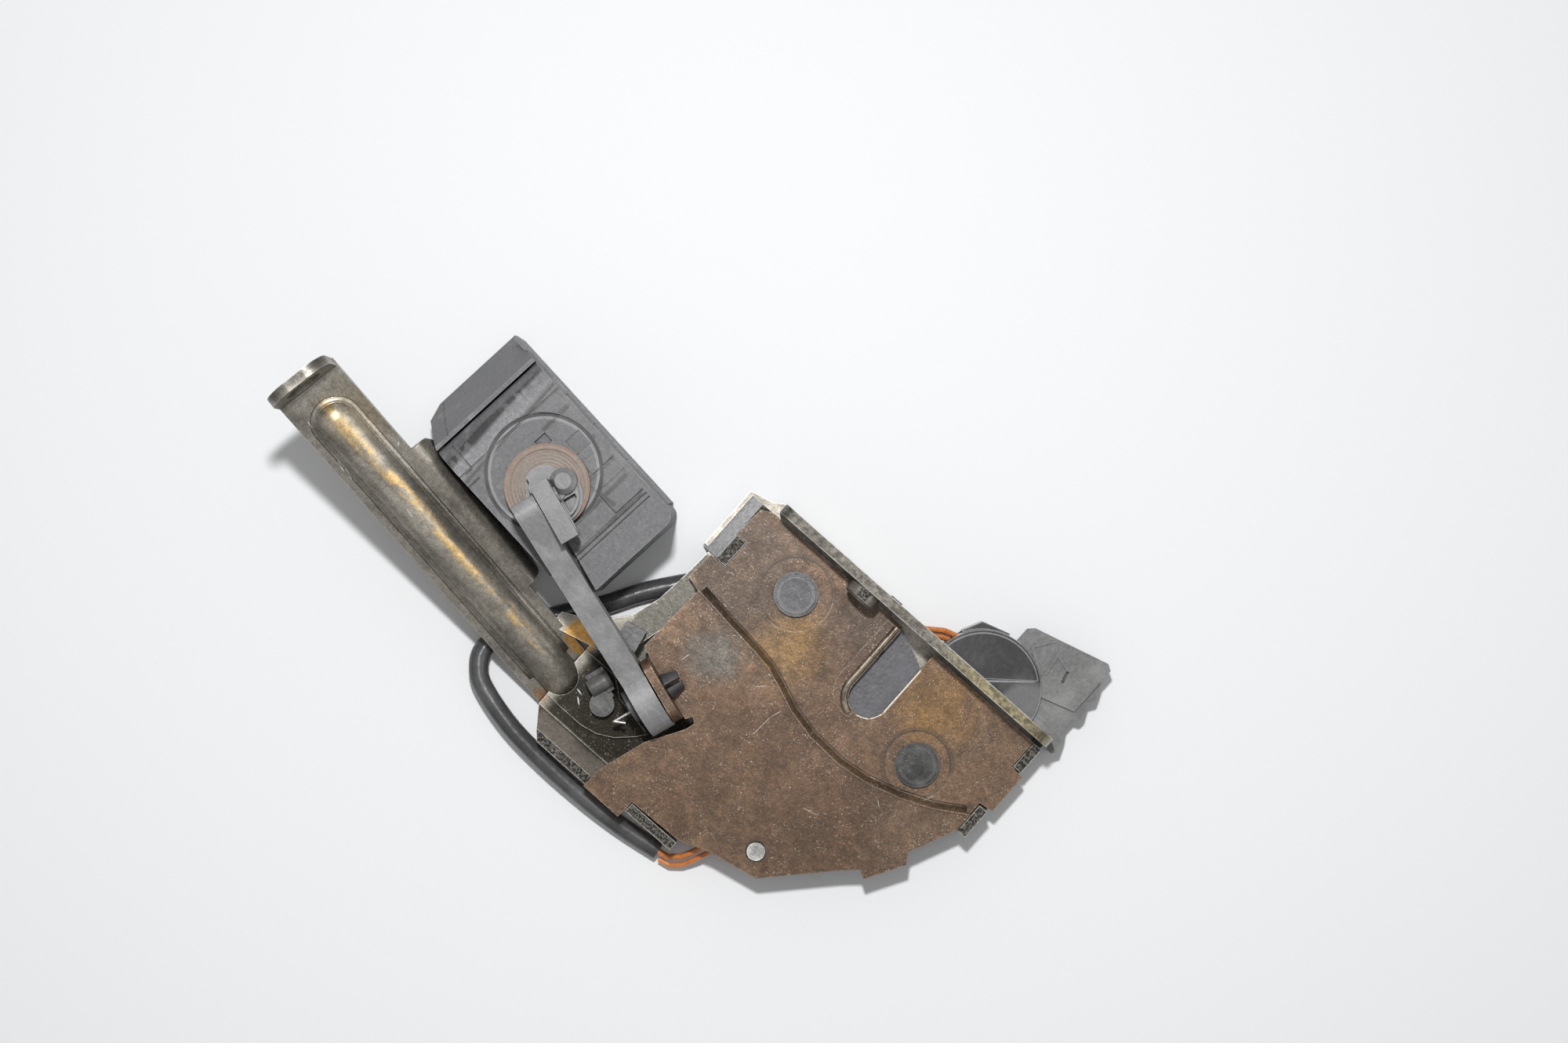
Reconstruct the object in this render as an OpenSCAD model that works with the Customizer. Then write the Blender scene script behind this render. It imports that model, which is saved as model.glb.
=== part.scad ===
// Tailgate window lock: a rotary latch with a bell crank and an electric release.
// X runs along the mounting flange, Y out of the striker slot, Z up through the cover plate.
// The origin is on the flange's outer face at the slot, level with the back of the base plate.

/* [Case] */
// Thickness of the base plate sheet
base_t = 2.5; // [2:0.1:2.8]
// Thickness of the cover plate sheet
cover_t = 2.0; // [1.4:0.1:2.4]
// Height of the cover's underside over the pivots
case_h = 10; // [9.8:0.1:11]
// Step from the pivot area up to the rest of the cover
joggle = 1.6; // [1:0.1:2]
// Length of the mounting flange
flange_l = 90.2; // [87:0.2:92]
// Thickness of the mounting flange
flange_t = 2.7; // [2:0.1:3]
// Height of the mounting flange
flange_h = 25.4; // [24:0.2:30]
// Width of the striker slot
slot_w = 10.4; // [9:0.1:11]
// Depth of the striker slot, from the flange's outer face
slot_depth = 28.4; // [26:0.2:29]

/* [Latch] */
// Radius of the two pivot rivets' shanks
pivot_r = 4; // [3:0.1:4.5]
// Radius of the pivot rivets' heads
head_r = 5.7; // [5:0.1:6.2]
// Running clearance of fork and pawl on their rivets
pivot_gap = 0.06; // [0.03:0.01:0.1]
// Thickness of the fork's steel core
fork_t = 4; // [3:0.1:4.2]
// Thickness of the fork's plastic skin
jacket_t = 2; // [1.2:0.1:2.2]
// Radius of the fork's rim under the pawl
rim_r = 26.5; // [26:0.1:26.8]
// Depth of the latching notch in the rim
notch_h = 2.4; // [1.5:0.1:2.8]
// Turn of the fork from open to closed, in degrees
fork_turn = 48; // [44:1:50]
// Thickness of the pawl
pawl_t = 3.6; // [3:0.1:3.6]

/* [Crank] */
// Radius of the crank lever's hub
crank_hub_r = 9.4; // [8:0.1:10]
// Width of the crank lever across its plane
crank_w = 6.2; // [5:0.1:6.6]
// Distance from the hub's centre to the cross pin
crank_l = 62.2; // [58:0.2:64]
// Height of the cross pin above the actuator's top
hook_rise = 12; // [11.6:0.1:12.4]
// Radius of the snap pin
crank_pin_r = 3; // [2.4:0.1:3.4]
// Height of the snap pin above the back of the base plate
crank_z = 17; // [16.8:0.1:18]
// Radius of the cross pin in the hook
cross_r = 1.9; // [1.4:0.1:2]

/* [Bracket arm] */
// Slope of the arm, in degrees
arm_slope = 26; // [22:1:28]
// Width of the arm
arm_w = 17.7; // [17:0.1:20]
// Length of the arm along its slope
arm_l = 105.5; // [98:0.5:108]
// Radius of the pressed bead
bead_r = 6; // [4.5:0.1:6.5]
// Height of the end tab
tab_h = 17; // [15:0.5:20]
// Radius of the fixing hole in the end tab
tab_hole_r = 5; // [4:0.1:5.5]

/* [Actuator] */
// Height of the actuator's top above the back of the base plate
act_h = 34.5; // [34.5:0.1:36]
// Wall of the actuator's housing
act_wall = 1.8; // [1.4:0.1:2]
// Stroke of the plunger
stroke = 12; // [8:0.5:12]
// Radius of the plunger's round neck
plunger_r = 4; // [3.5:0.1:4.2]
// Radius of the plunger's dust disc
disc_r = 10.6; // [9:0.1:11]

/* [Lead] */
// Radius of the cable sleeve
sleeve_r = 2.6; // [2.2:0.1:2.8]
// Radius of one wire
wire_r = 0.7; // [0.5:0.05:0.8]

/* [Hidden] */
$fn = 64;

cut = 1;
seat = 0.3;
fit = 0.05;
table_z = -2;
slot_x = -0.6;
flange_x = -49;
wall_out = flange_x + flange_l;
wall_x = wall_out - base_t;
flange_end = wall_x - 0.3;
flange_in = -flange_t;
cover_gap = 1.2;
cover_y = flange_in - cover_gap;
cover_top = case_h + cover_t;
raised_z = case_h + joggle;
raised_top = raised_z + cover_t;
plate_z = base_t + 0.7;
steel = [0.42, 0.41, 0.38];
bronze = [0.36, 0.29, 0.23];
olive = [0.34, 0.32, 0.25];
black = [0.12, 0.12, 0.13];
grey = [0.42, 0.42, 0.44];
copper = [0.8, 0.42, 0.2];

// Pivots of the latch
fork_pos = [20, -27.8];
pawl_pos = [-32, -15.7];
rivet_pos = [3.7, -71.5];
ring_h = 0.5;
fork_ring_r = 8.8;
pawl_ring_r = 9.6;

// The crank's own frame: x along the lever, y along the snap pin, z up
crank_pos = [-42, -57.2];
crank_turn = 18.5;
tab_t = 2.2;
crank_gap = 0.4;
spring_r = crank_pin_r + 2.4;
tip_z = act_h + hook_rise - crank_z;
crank_rise = asin(tip_z / crank_l);
tip_x = -crank_l * cos(crank_rise);

// The actuator's own frame: x along its length, y across it
act_pos = [-99.1, -34];
act_turn = 6;
disc_t = 2.4;
disc_gap = 0.7;
cross_gap = 0.5;
slot_l = 8.6;
plunger_u = 3.3;
plunger_v = -1.7;
split_z = 27;
act_left = -33.6;
act_right = 30.2;
act_v = 16.8;
act_corner = 3.3;
floor_z = table_z + act_wall;
rack_m = 1;
rack_teeth = 10;
rack_pitch_r = rack_m * rack_teeth / 2;
rack_line = plunger_u - 3.6;
gear_u = rack_line - rack_pitch_r;
gear_z = 16.2;
gear_m = 0.5;
gear_teeth = 48;
pinion_teeth = 10;
gear_centres = gear_m * (gear_teeth + pinion_teeth) / 2;
motor_r = 8;
motor_z = floor_z + motor_r + 0.3;
motor_angle = 180 + asin((gear_z - motor_z) / gear_centres);
motor_u = gear_u + gear_centres * cos(motor_angle);
axle_r = 1.5;

// The bracket arm's root
arm_pos = [-63, -70];
arm_turn = 170;
arm_mid = 1.85;
ear_y = -11.3;

module at_crank() {
    translate([crank_pos[0], crank_pos[1], crank_z]) rotate([0, 0, -crank_turn]) children();
}

module at_actuator() {
    translate([act_pos[0], act_pos[1], 0]) rotate([0, 0, -act_turn]) children();
}

module at_arm() {
    translate([arm_pos[0], arm_pos[1], 0]) rotate([0, 0, arm_turn]) children();
}

module on_slope() {
    at_arm() rotate([0, -arm_slope, 0]) children();
}

// A cylinder along y, from y to y + l
module rod_y(r, y, l) {
    translate([0, y + l, 0]) rotate([90, 0, 0]) cylinder(r = r, h = l);
}

// A profile drawn in x and z, carried along y from y to y + l
module along_y(y, l) {
    translate([0, y + l, 0]) rotate([90, 0, 0]) linear_extrude(l) children();
}

module slot_outline(grow) {
    w = slot_w / 2 + grow;
    translate([slot_x, -slot_depth + slot_w / 2]) {
        circle(r = w);
        translate([-w, 0]) square([2 * w, slot_depth]);
    }
}

// Pressed base plate

floor_points = [[-58.3, -3.5], [-52, -2], [flange_x, 0], [flange_end, 0], [wall_out, -2.4],
    [wall_out, -33.5], [wall_x, -33.8], [32, -46], [22, -60], [7.5, -75.3], [-5.5, -78.2],
    [-13, -81], [-13, -85.8], [-28, -85.8], [-28.5, -80.6], [-63, -80.8], [-63, -61],
    [-60, -60], [-56.5, -54], [-54.5, -46], [-50.5, -38], [-48.5, -32], [-48.5, -22.5],
    [-58.3, -21.5]];
arch_points = [[-46, -22.5], [-56, -22.5], [-56.5, -31], [-57.5, -40], [-60, -48],
    [-64.5, -53], [-70, -57], [-74, -59], [-74, -63.5], [-60, -60], [-54, -54],
    [-52, -46], [-48, -38], [-46, -32]];
step_points = [[-46, -22.5], [-46, -32], [-48, -38], [-52, -46], [-54, -54], [-60, -60],
    [-67, -61.75], [-67, -59.5], [-62, -58], [-56.5, -54], [-54.5, -46], [-50.5, -38],
    [-48.5, -32], [-48.5, -22.5]];
arch_z = 5;
swell_points = [[-63, -62.6], [-53, -62.6], [-48, -66.2], [-36.5, -68.4], [-38.5, -71], [-42.5, -74.8],
    [-46.5, -77], [-51, -78], [-58, -78], [-63, -77.8]];
swell_h = 1.2;

module flange() {
    left_r = 4;
    right_r = 9;
    hole_x = -19.5;
    hole_z = 19.8;
    window_top = 14.5;
    difference() {
        union() {
            translate([0, -flange_t, 0]) rotate([90, 0, 0]) mirror([0, 0, 1]) linear_extrude(flange_t)
                union() {
                    translate([flange_x, 0]) square([flange_l, flange_h - right_r]);
                    translate([flange_x, 0]) square([flange_l - right_r, flange_h - left_r]);
                    translate([flange_x + left_r, 0]) square([flange_l - left_r - right_r, flange_h]);
                    translate([flange_x + left_r, flange_h - left_r]) circle(r = left_r);
                    translate([wall_out - right_r, flange_h - right_r]) circle(r = right_r);
                }
            translate([hole_x, 0, hole_z]) rod_y(4.5, -5.6, 5.6 - cut);
            translate([hole_x, -5.6, hole_z]) rotate([90, 0, 0]) cylinder(r1 = 4.5, r2 = 3.8, h = 0.7);
            translate([-11.8, 0, hole_z - 6]) rod_y(1.8, -cut, cut + 0.4);
        }
        translate([hole_x, 0, hole_z]) rod_y(2.5, -8, 10);
        translate([slot_x - slot_w / 2, -flange_t - cut, base_t])
            cube([slot_w, flange_t + 2 * cut, window_top - base_t]);
    }
}

module side_walls() {
    notch_top = cover_top + 0.6;
    translate([wall_x, -33.5, 0]) cube([base_t, 33.5 - cover_gap, case_h]);
    translate([wall_x, -11.8, 0]) cube([base_t, 7.8, notch_top]);
    translate([wall_x, -33.5, 0]) cube([base_t, 8.5, raised_top + 0.4]);
    translate([-28, -85.8, 0]) cube([15, base_t, raised_top + 0.4]);
    // Leaning wall at the upper left, with its tab
    along_y(-21.5, 17.5) polygon([[-58.3, 0], [-53.6, case_h], [-50.6, case_h], [-55.4, 0]]);
    along_y(-22.3, 7.9) polygon([[-58.3, 0], [-53.6, case_h], [-53.3, notch_top],
        [-50.3, notch_top], [-50.6, case_h], [-55.4, 0]]);
    // Flared wall at the lower left
    intersection() {
        rotate([90, 0, 90]) translate([0, 0, -63]) linear_extrude(34.5)
            polygon([[-79, 0], [-82.5, 0], [-87.8, 9.8], [-87.8, raised_z], [-85.2, raised_z],
                [-85.2, 9.8], [-81.2, base_t], [-79, base_t]]);
        linear_extrude(20) polygon([[-63, -78], [-63, -81], [-56.5, -88], [-28.5, -88], [-28.5, -78]]);
    }
}

module arm() {
    bead_wall = 2.4;
    bead_end = arm_l - 12.5;
    bead_y = 2.2;
    upper = arm_mid - arm_w / 2;
    ear_from = 27;
    ear_to = 75;
    ear_end = 67;
    ear_r = upper - ear_y;
    ear_drop = 17;
    on_slope() {
        difference() {
            union() {
                translate([-1.2, upper, 0]) cube([arm_l + 1.2, arm_w, base_t]);
                intersection() {
                    union() {
                        translate([0, bead_y, 0]) rotate([0, 90, 0]) cylinder(r = bead_r, h = bead_end);
                        translate([bead_end, bead_y, 0]) sphere(r = bead_r);
                        translate([0, bead_y, 0]) sphere(r = bead_r);
                    }
                    translate([-bead_r, upper, 0]) cube([arm_l, arm_w, 2 * bead_r]);
                }
                // Ear rolled down along the upper edge
                translate([ear_from, upper, base_t - ear_r]) rotate([0, 90, 0]) difference() {
                    cylinder(r = ear_r, h = ear_to - ear_from);
                    translate([0, 0, -cut]) cylinder(r = ear_r - base_t, h = ear_to);
                    translate([0, -ear_r - cut, -cut]) cube([2 * ear_r, 4 * ear_r, ear_to]);
                    translate([-ear_r - cut, 0, -cut]) cube([4 * ear_r, 2 * ear_r, ear_to]);
                }
                translate([ear_from, ear_y, base_t - ear_drop])
                    cube([ear_to - ear_from, base_t, ear_drop - ear_r]);
            }
            translate([0, bead_y, -0.01]) rotate([0, 90, 0]) cylinder(r = bead_r - bead_wall, h = bead_end);
            translate([bead_end, bead_y, 0]) sphere(r = bead_r - bead_wall);
            // Upright end of the ear
            rotate([0, arm_slope, 0]) translate([ear_end, ear_y - cut, 0])
                cube([30, upper - ear_y + cut, 60]);
        }
    }
}

module end_tab() {
    end_x = arm_l * cos(arm_slope);
    end_z = arm_l * sin(arm_slope);
    tab_w = arm_w - 0.4;
    lower = arm_mid - tab_w / 2;
    corner = 6;
    hole_z = end_z + tab_h - 7.4;
    at_arm() difference() {
        translate([end_x - base_t, 0, 0]) rotate([90, 0, 90]) linear_extrude(base_t) union() {
            translate([lower, end_z - cut]) square([tab_w, tab_h - corner + cut]);
            translate([lower + corner, end_z]) square([tab_w - 2 * corner, tab_h]);
            for (y = [lower + corner, lower + tab_w - corner])
                translate([y, end_z + tab_h - corner]) circle(r = corner);
        }
        translate([end_x - 2 * base_t, arm_mid, hole_z]) rotate([0, 90, 0])
            cylinder(r = tab_hole_r, h = 4 * base_t);
    }
}

module base_plate() color(olive) {
    difference() {
        union() {
            linear_extrude(base_t) polygon(floor_points);
            translate([0, 0, arch_z]) linear_extrude(base_t) polygon(arch_points);
            linear_extrude(arch_z + base_t) polygon(step_points);
            linear_extrude(base_t + swell_h) polygon(swell_points);
            flange();
            side_walls();
            arm();
            end_tab();
        }
        for (p = [fork_pos, pawl_pos])
            translate([p[0], p[1], -cut]) cylinder(r = pivot_r, h = base_t + 2 * cut);
        translate([rivet_pos[0], rivet_pos[1], -cut]) cylinder(r = 1.5, h = base_t + 2 * cut);
        // Room for the screws through the ear
        for (s = screw_spots)
            at_arm() translate([s[0], 0, s[1]]) rod_y(2, ear_y - cut, base_t + 2 * cut);
    }
}

// Pressed cover plate

cover_points = [[-50, cover_y], [-53, -5.5], [-53.7, -14.2], [-50.1, -14.2], [-50.1, -22.5],
    [-55, -22.5], [-55.5, -30.5], [-51.3, -31.5], [-52.3, -51], [-48.7, -52.7],
    [-32.1, -58.2], [-31, -56.4], [-29.6, -57.6], [-30.3, -60], [-36, -69.5], [-40, -82],
    [-40.3, -88.2], [-28.5, -88.2], [-28.3, -83], [-13, -82.5], [-5, -79.5],
    [8.3, -76.7], [23, -61], [26.8, -57.5], [29, -58.7], [34.8, -48.7], [33, -46],
    [wall_x - 0.2, -33.5], [wall_x - 0.2, -24.5], [wall_out + 1.1, -24], [wall_out + 1.1, -12.5],
    [wall_x - 0.2, -12], [wall_x - 0.2, cover_y]];
joggle_line = [[-60, -30.4], [-51.5, -31.2], [-40, -32.5], [-30, -33.5], [-25, -34.2],
    [-20, -36], [-13, -38.7], [-5, -40.4], [5, -40.8], [13, -39.7], [22, -37],
    [30, -33.5], [38, -28.5], [46, -23]];
joggle_w = 1.5;

module pivot_side(shift) {
    polygon(concat([for (p = joggle_line) [p[0], p[1] + shift]], [[46, 10], [-60, 10]]));
}

module pressed_sheet() {
    translate([0, 0, case_h]) linear_extrude(cover_t) intersection() {
        polygon(cover_points);
        pivot_side(-joggle_w);
    }
    translate([0, 0, raised_z]) linear_extrude(cover_t) difference() {
        polygon(cover_points);
        pivot_side(0);
    }
}

module pivot_tab() {
    half = 8.7;
    top = 8.6;
    corner = 3;
    foot = raised_z + 0.2 - crank_z;
    at_crank() along_y(0, 4.5) translate([-half, foot]) square([2 * half, cover_t - 0.4]);
    at_crank() along_y(0, tab_t) union() {
        translate([-half, foot]) square([2 * half, top - corner - foot]);
        translate([-half + corner, 0]) square([2 * half - 2 * corner, top]);
        for (x = [-half + corner, half - corner])
            translate([x, top - corner]) circle(r = corner);
    }
}

module cover_plate() color(bronze) {
    lip_w = 2.2;
    lip_h = 0.9;
    difference() {
        union() {
            pressed_sheet();
            pivot_tab();
            // Rim drawn up along the slot's left side and bottom
            translate([0, 0, cover_top - cut]) linear_extrude(lip_h + cut) intersection() {
                difference() {
                    translate([-lip_w, 0]) slot_outline(lip_w);
                    slot_outline(0);
                }
                translate([-20, -slot_depth - 4]) square([19, slot_depth - 1]);
            }
            // Folded tab at the lower right corner
            translate([0, 0, raised_z - 4]) linear_extrude(4 + cut)
                polygon([[27.6, -58], [29, -58.7], [34.8, -48.7], [33.6, -47.9]]);
        }
        translate([0, 0, case_h - 2 * cut]) linear_extrude(cover_t + 6) slot_outline(0);
        for (p = [[fork_pos, fork_ring_r], [pawl_pos, pawl_ring_r]])
            translate([p[0][0], p[0][1], 0]) {
                translate([0, 0, cover_top - ring_h]) cylinder(r = p[1], h = 4);
                translate([0, 0, case_h - cut]) cylinder(r = pivot_r, h = cover_t + 2 * cut);
            }
        translate([rivet_pos[0], rivet_pos[1], raised_z - cut]) cylinder(r = 1.5, h = cover_t + 2 * cut);
        at_crank() rod_y(crank_pin_r + fit, -cut, tab_t + 2 * cut);
    }
}

// Rivets

module pivot_rivet(p) {
    collar_r = pivot_r + 1.6;
    tail_r = 5.4;
    color(steel) translate([p[0], p[1], 0]) {
        translate([0, 0, table_z]) cylinder(r = tail_r, h = -table_z);
        cylinder(r = pivot_r, h = cover_top - ring_h);
        translate([0, 0, plate_z + fork_t + jacket_t + 0.1])
            cylinder(r = collar_r, h = case_h - plate_z - fork_t - jacket_t - 0.1);
        translate([0, 0, cover_top - ring_h]) difference() {
            cylinder(r = head_r, h = 1.7);
            translate([0, 0, 1.4]) cylinder(r = head_r - 1, h = cut);
        }
        translate([0, 0, cover_top - ring_h]) cylinder(r = head_r - 1.4, h = 1.6);
    }
}

module fork_rivet() pivot_rivet(fork_pos);

module pawl_rivet() pivot_rivet(pawl_pos);

module cover_rivet() color([0.62, 0.62, 0.6]) translate([rivet_pos[0], rivet_pos[1], 0]) {
    cylinder(r = 1.5, h = raised_top);
    translate([0, 0, table_z + 0.8]) cylinder(r = 2.6, h = -table_z - 0.8);
    translate([0, 0, raised_top]) cylinder(r1 = 2.8, r2 = 2.3, h = 0.9);
}

// Rotary fork, drawn closed about its pivot and turned open

striker_rel = [-20.5, 5.8];
hub_r = 13;
front_r = 23.6;
steel_reach = 29.5;
jacket_reach = 35;
steel_mouth = slot_w / 2 + 0.8;
jacket_mouth = slot_w / 2 - 0.4;
jacket_hole_r = 6.4;

function polar(r, a) = [r * cos(a), r * sin(a)];

module fork_sector(r) {
    intersection() {
        circle(r = r);
        polygon([[0, 0], [-30 * cos(42), -30 * sin(42)], [-30, -30], [0, -34], [12, -34], [9, 0]]);
    }
}

module fork_shape(mouth_r, reach, notch) {
    difference() {
        intersection() {
            circle(r = reach);
            union() {
                circle(r = hub_r);
                intersection() {
                    circle(r = front_r);
                    polygon([[0, 0], [4, 13], [-8, 26], [-26, 22], [-26, 8], [-20, -4]]);
                }
                polygon([[0, 8], [-24, 8], polar(reach, 176), polar(reach, 190.5), [-28.6, -8.1],
                    [-20.2, -15.3], [-17.8, -16.1], [-6, -22]]);
                if (!notch)
                    polygon([[-28.6, -8.1], polar(rim_r + 0.5, 222), [-10, -8]]);
                fork_sector(rim_r);
            }
        }
        translate(striker_rel) {
            circle(r = mouth_r);
            translate([-40, -mouth_r]) square([40, 2 * mouth_r]);
        }
        // Lead-in at the tip of the rear horn
        polygon([[-25, 1], [-40, -5.7], [-40, 4], [-25, 4]]);
        if (notch) {
            intersection() {
                difference() {
                    circle(r = 40);
                    circle(r = rim_r - notch_h);
                }
                polygon([[0, 0], [-40 * cos(42), -40 * sin(42)], [-40 * cos(31), -40 * sin(31)]]);
            }
        }
    }
}

module at_fork_open() {
    translate([fork_pos[0], fork_pos[1], plate_z]) rotate([0, 0, -fork_turn]) children();
}

module fork() color(steel) at_fork_open() difference() {
    linear_extrude(fork_t) fork_shape(steel_mouth, steel_reach, true);
    translate([0, 0, -cut]) cylinder(r = pivot_r + pivot_gap, h = fork_t + 2 * cut);
}

module fork_jacket() color([0.25, 0.28, 0.31]) at_fork_open() {
    difference() {
        translate([0, 0, fork_t]) linear_extrude(jacket_t) fork_shape(jacket_mouth, jacket_reach, false);
        translate([0, 0, -cut]) cylinder(r = jacket_hole_r, h = fork_t + jacket_t + 2 * cut);
        // Window for the return spring
        translate([0, 0, fork_t - cut]) linear_extrude(jacket_t + 2 * cut)
            polygon([[2, -2], [9, -29], [30, -20], [30, 10], [6, 14], [3, 2]]);
    }
    // Lining of the striker's slot
    linear_extrude(fork_t) intersection() {
        difference() {
            fork_shape(jacket_mouth, steel_reach, true);
            fork_shape(steel_mouth, steel_reach, true);
        }
        translate(striker_rel) circle(r = 12);
    }
}

// One open ring of spring wire with two straight legs, lying flat
module flat_spring(r, wire, leg, span) {
    difference() {
        rotate_extrude() translate([r, 0]) circle(r = wire, $fn = 32);
        rotate([0, 0, -span / 2]) translate([0, 0, -2 * wire])
            linear_extrude(4 * wire) polygon([[0, 0], [3 * r, 0], [3 * r * cos(span), 3 * r * sin(span)]]);
    }
    for (a = [-span / 2, span / 2])
        rotate([0, 0, a]) translate([r, 0, 0]) rotate([0, 90, 0]) translate([0, 0, -wire])
            cylinder(r = wire, h = leg + wire, $fn = 32);
}

module fork_spring() color(steel)
    translate([fork_pos[0], fork_pos[1], plate_z + fork_t + 0.9]) rotate([0, 0, -60])
        flat_spring(pivot_r + 1, 0.6, 8, 50);

module pawl_spring() color(steel)
    translate([pawl_pos[0], pawl_pos[1], plate_z + pawl_t + 1.1]) rotate([0, 0, 150])
        flat_spring(pivot_r + 1.2, 0.6, 7.6, 60);

// Pawl, drawn at rest just clear of the fork's rim

function from_crank(x, y) = [crank_pos[0] + x * cos(crank_turn) + y * sin(crank_turn),
    crank_pos[1] - x * sin(crank_turn) + y * cos(crank_turn)];
function from_fork(r, a) = [fork_pos[0] + r * cos(a), fork_pos[1] + r * sin(a)];
lower_arm_w = 6;
pad_x = -lower_arm_w / 2 - seat;

module pawl() color(steel) {
    tip_r = rim_r + 0.4;
    difference() {
        translate([0, 0, plate_z]) linear_extrude(pawl_t) union() {
            translate(pawl_pos) circle(r = 8);
            polygon([[-38.5, -20], from_crank(pad_x - 4, -0.8), from_crank(pad_x - 4, -6),
                from_crank(pad_x, -6), from_crank(pad_x, -0.8), [-41, -50], [-33.5, -32], [-24, -45],
                [-14, -49], from_fork(tip_r + 4.8, 222), from_fork(tip_r, 221.5), from_fork(tip_r, 214),
                [-12, -41], [-19, -37], [-26, -20.5]]);
        }
        translate([pawl_pos[0], pawl_pos[1], plate_z - cut])
            cylinder(r = pivot_r + pivot_gap, h = pawl_t + 2 * cut);
    }
}

// Bell crank

module crank_lever() color(grey) {
    root = 5;
    tip_r = 2.8;
    n = [sin(crank_rise), cos(crank_rise)];
    y0 = -crank_gap - crank_w;
    pocket = 1.6;
    foot = 13.6;
    at_crank() difference() {
        union() {
            along_y(y0, crank_w) union() {
                circle(r = crank_hub_r);
                polygon([root * n, [tip_x, tip_z] + tip_r * n, [tip_x, tip_z] - tip_r * n, -root * n]);
                translate([tip_x, tip_z]) circle(r = tip_r);
                translate([-lower_arm_w / 2, -foot]) square([lower_arm_w, foot]);
            }
            translate([tip_x, 0, tip_z]) rod_y(cross_r, -crank_gap - cut, 5 + crank_gap + cut);
        }
        rod_y(crank_pin_r + fit, y0 - cut, crank_w + 2 * cut);
        // Groove that takes the spring's coil
        difference() {
            rod_y(spring_r + 0.8, y0 - cut, cut + 2.4);
            rod_y(spring_r - 0.7, y0 - 2 * cut, 3 * cut + 2.4);
        }
        // Lightening pocket on the hidden side of the long arm
        along_y(y0 - cut, cut + pocket) polygon([
            [tip_x * 0.24, tip_z * 0.24] + (root - 2) * n, [tip_x * 0.94, tip_z * 0.94] + (tip_r - 1.6) * n,
            [tip_x * 0.94, tip_z * 0.94] - (tip_r - 1.6) * n, [tip_x * 0.24, tip_z * 0.24] - (root - 2) * n]);
    }
}

module lever_pin() color(black) at_crank() difference() {
    y0 = -crank_gap - crank_w;
    barb_r = crank_pin_r + 0.5;
    union() {
        rod_y(crank_pin_r, y0 - 0.4, crank_w + crank_gap + tab_t + 0.8);
        rod_y(crank_pin_r + 1.4, y0 - 1.8, 1.4);
        translate([0, tab_t + 0.3, 0]) rotate([-90, 0, 0])
            cylinder(r1 = barb_r, r2 = crank_pin_r - 0.6, h = 4);
    }
    translate([-0.6, tab_t - 1, -2 * barb_r]) cube([1.2, 8, 4 * barb_r]);
}

module lever_spring() color([0.7, 0.7, 0.7]) at_crank() {
    wire = 0.5;
    leg_r = 0.45;
    leg_x = 1.2;
    leg_y = -14;
    y0 = -crank_gap - crank_w + 0.7;
    leg_z = -sqrt(spring_r * spring_r - leg_x * leg_x);
    for (i = [0, 1])
        translate([0, y0 + i * 0.9, 0]) rotate([90, 0, 0]) rotate_extrude()
            translate([spring_r, 0]) circle(r = wire, $fn = 32);
    translate([leg_x, 0, leg_z]) {
        rod_y(leg_r, leg_y, y0 - leg_y);
        translate([0, leg_y, 0]) {
            sphere(r = leg_r);
            rotate([90, 0, 142]) cylinder(r = leg_r, h = 3);
        }
    }
}

// Black plastic parts beside the crank

module lever_stop() color(black) {
    translate([0, 0, arch_z + base_t]) {
        linear_extrude(4) polygon([[-59.8, -49.6], [-54.2, -48.4], [-53, -54.5], [-59, -55.2]]);
        linear_extrude(7) polygon([[-56.4, -50.2], [-53.9, -49.6], [-53, -54], [-56.6, -53.8]]);
    }
}

module release_guide() color(black) {
    translate([-55, -67, base_t + swell_h]) rotate([0, 0, -crank_turn]) {
        translate([-3.2, -1.8, 0]) cube([6.6, 5.2, 3]);
        translate([0.3, 0, 3.4]) rod_y(2.3, -2.2, 6);
        translate([5.2, -1.5, 0]) cylinder(r = 3.2, h = 3.4);
        translate([2.4, -1.4, 0]) cube([2.6, 3.6, 2]);
    }
}

// Plunger with rack, neck, hub and hooked finger

function rack_tooth(z, m, root_x, tip_x) = [[root_x, z - 0.3 * PI * m], [tip_x, z - 0.11 * PI * m],
    [tip_x, z + 0.11 * PI * m], [root_x, z + 0.3 * PI * m]];

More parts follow.
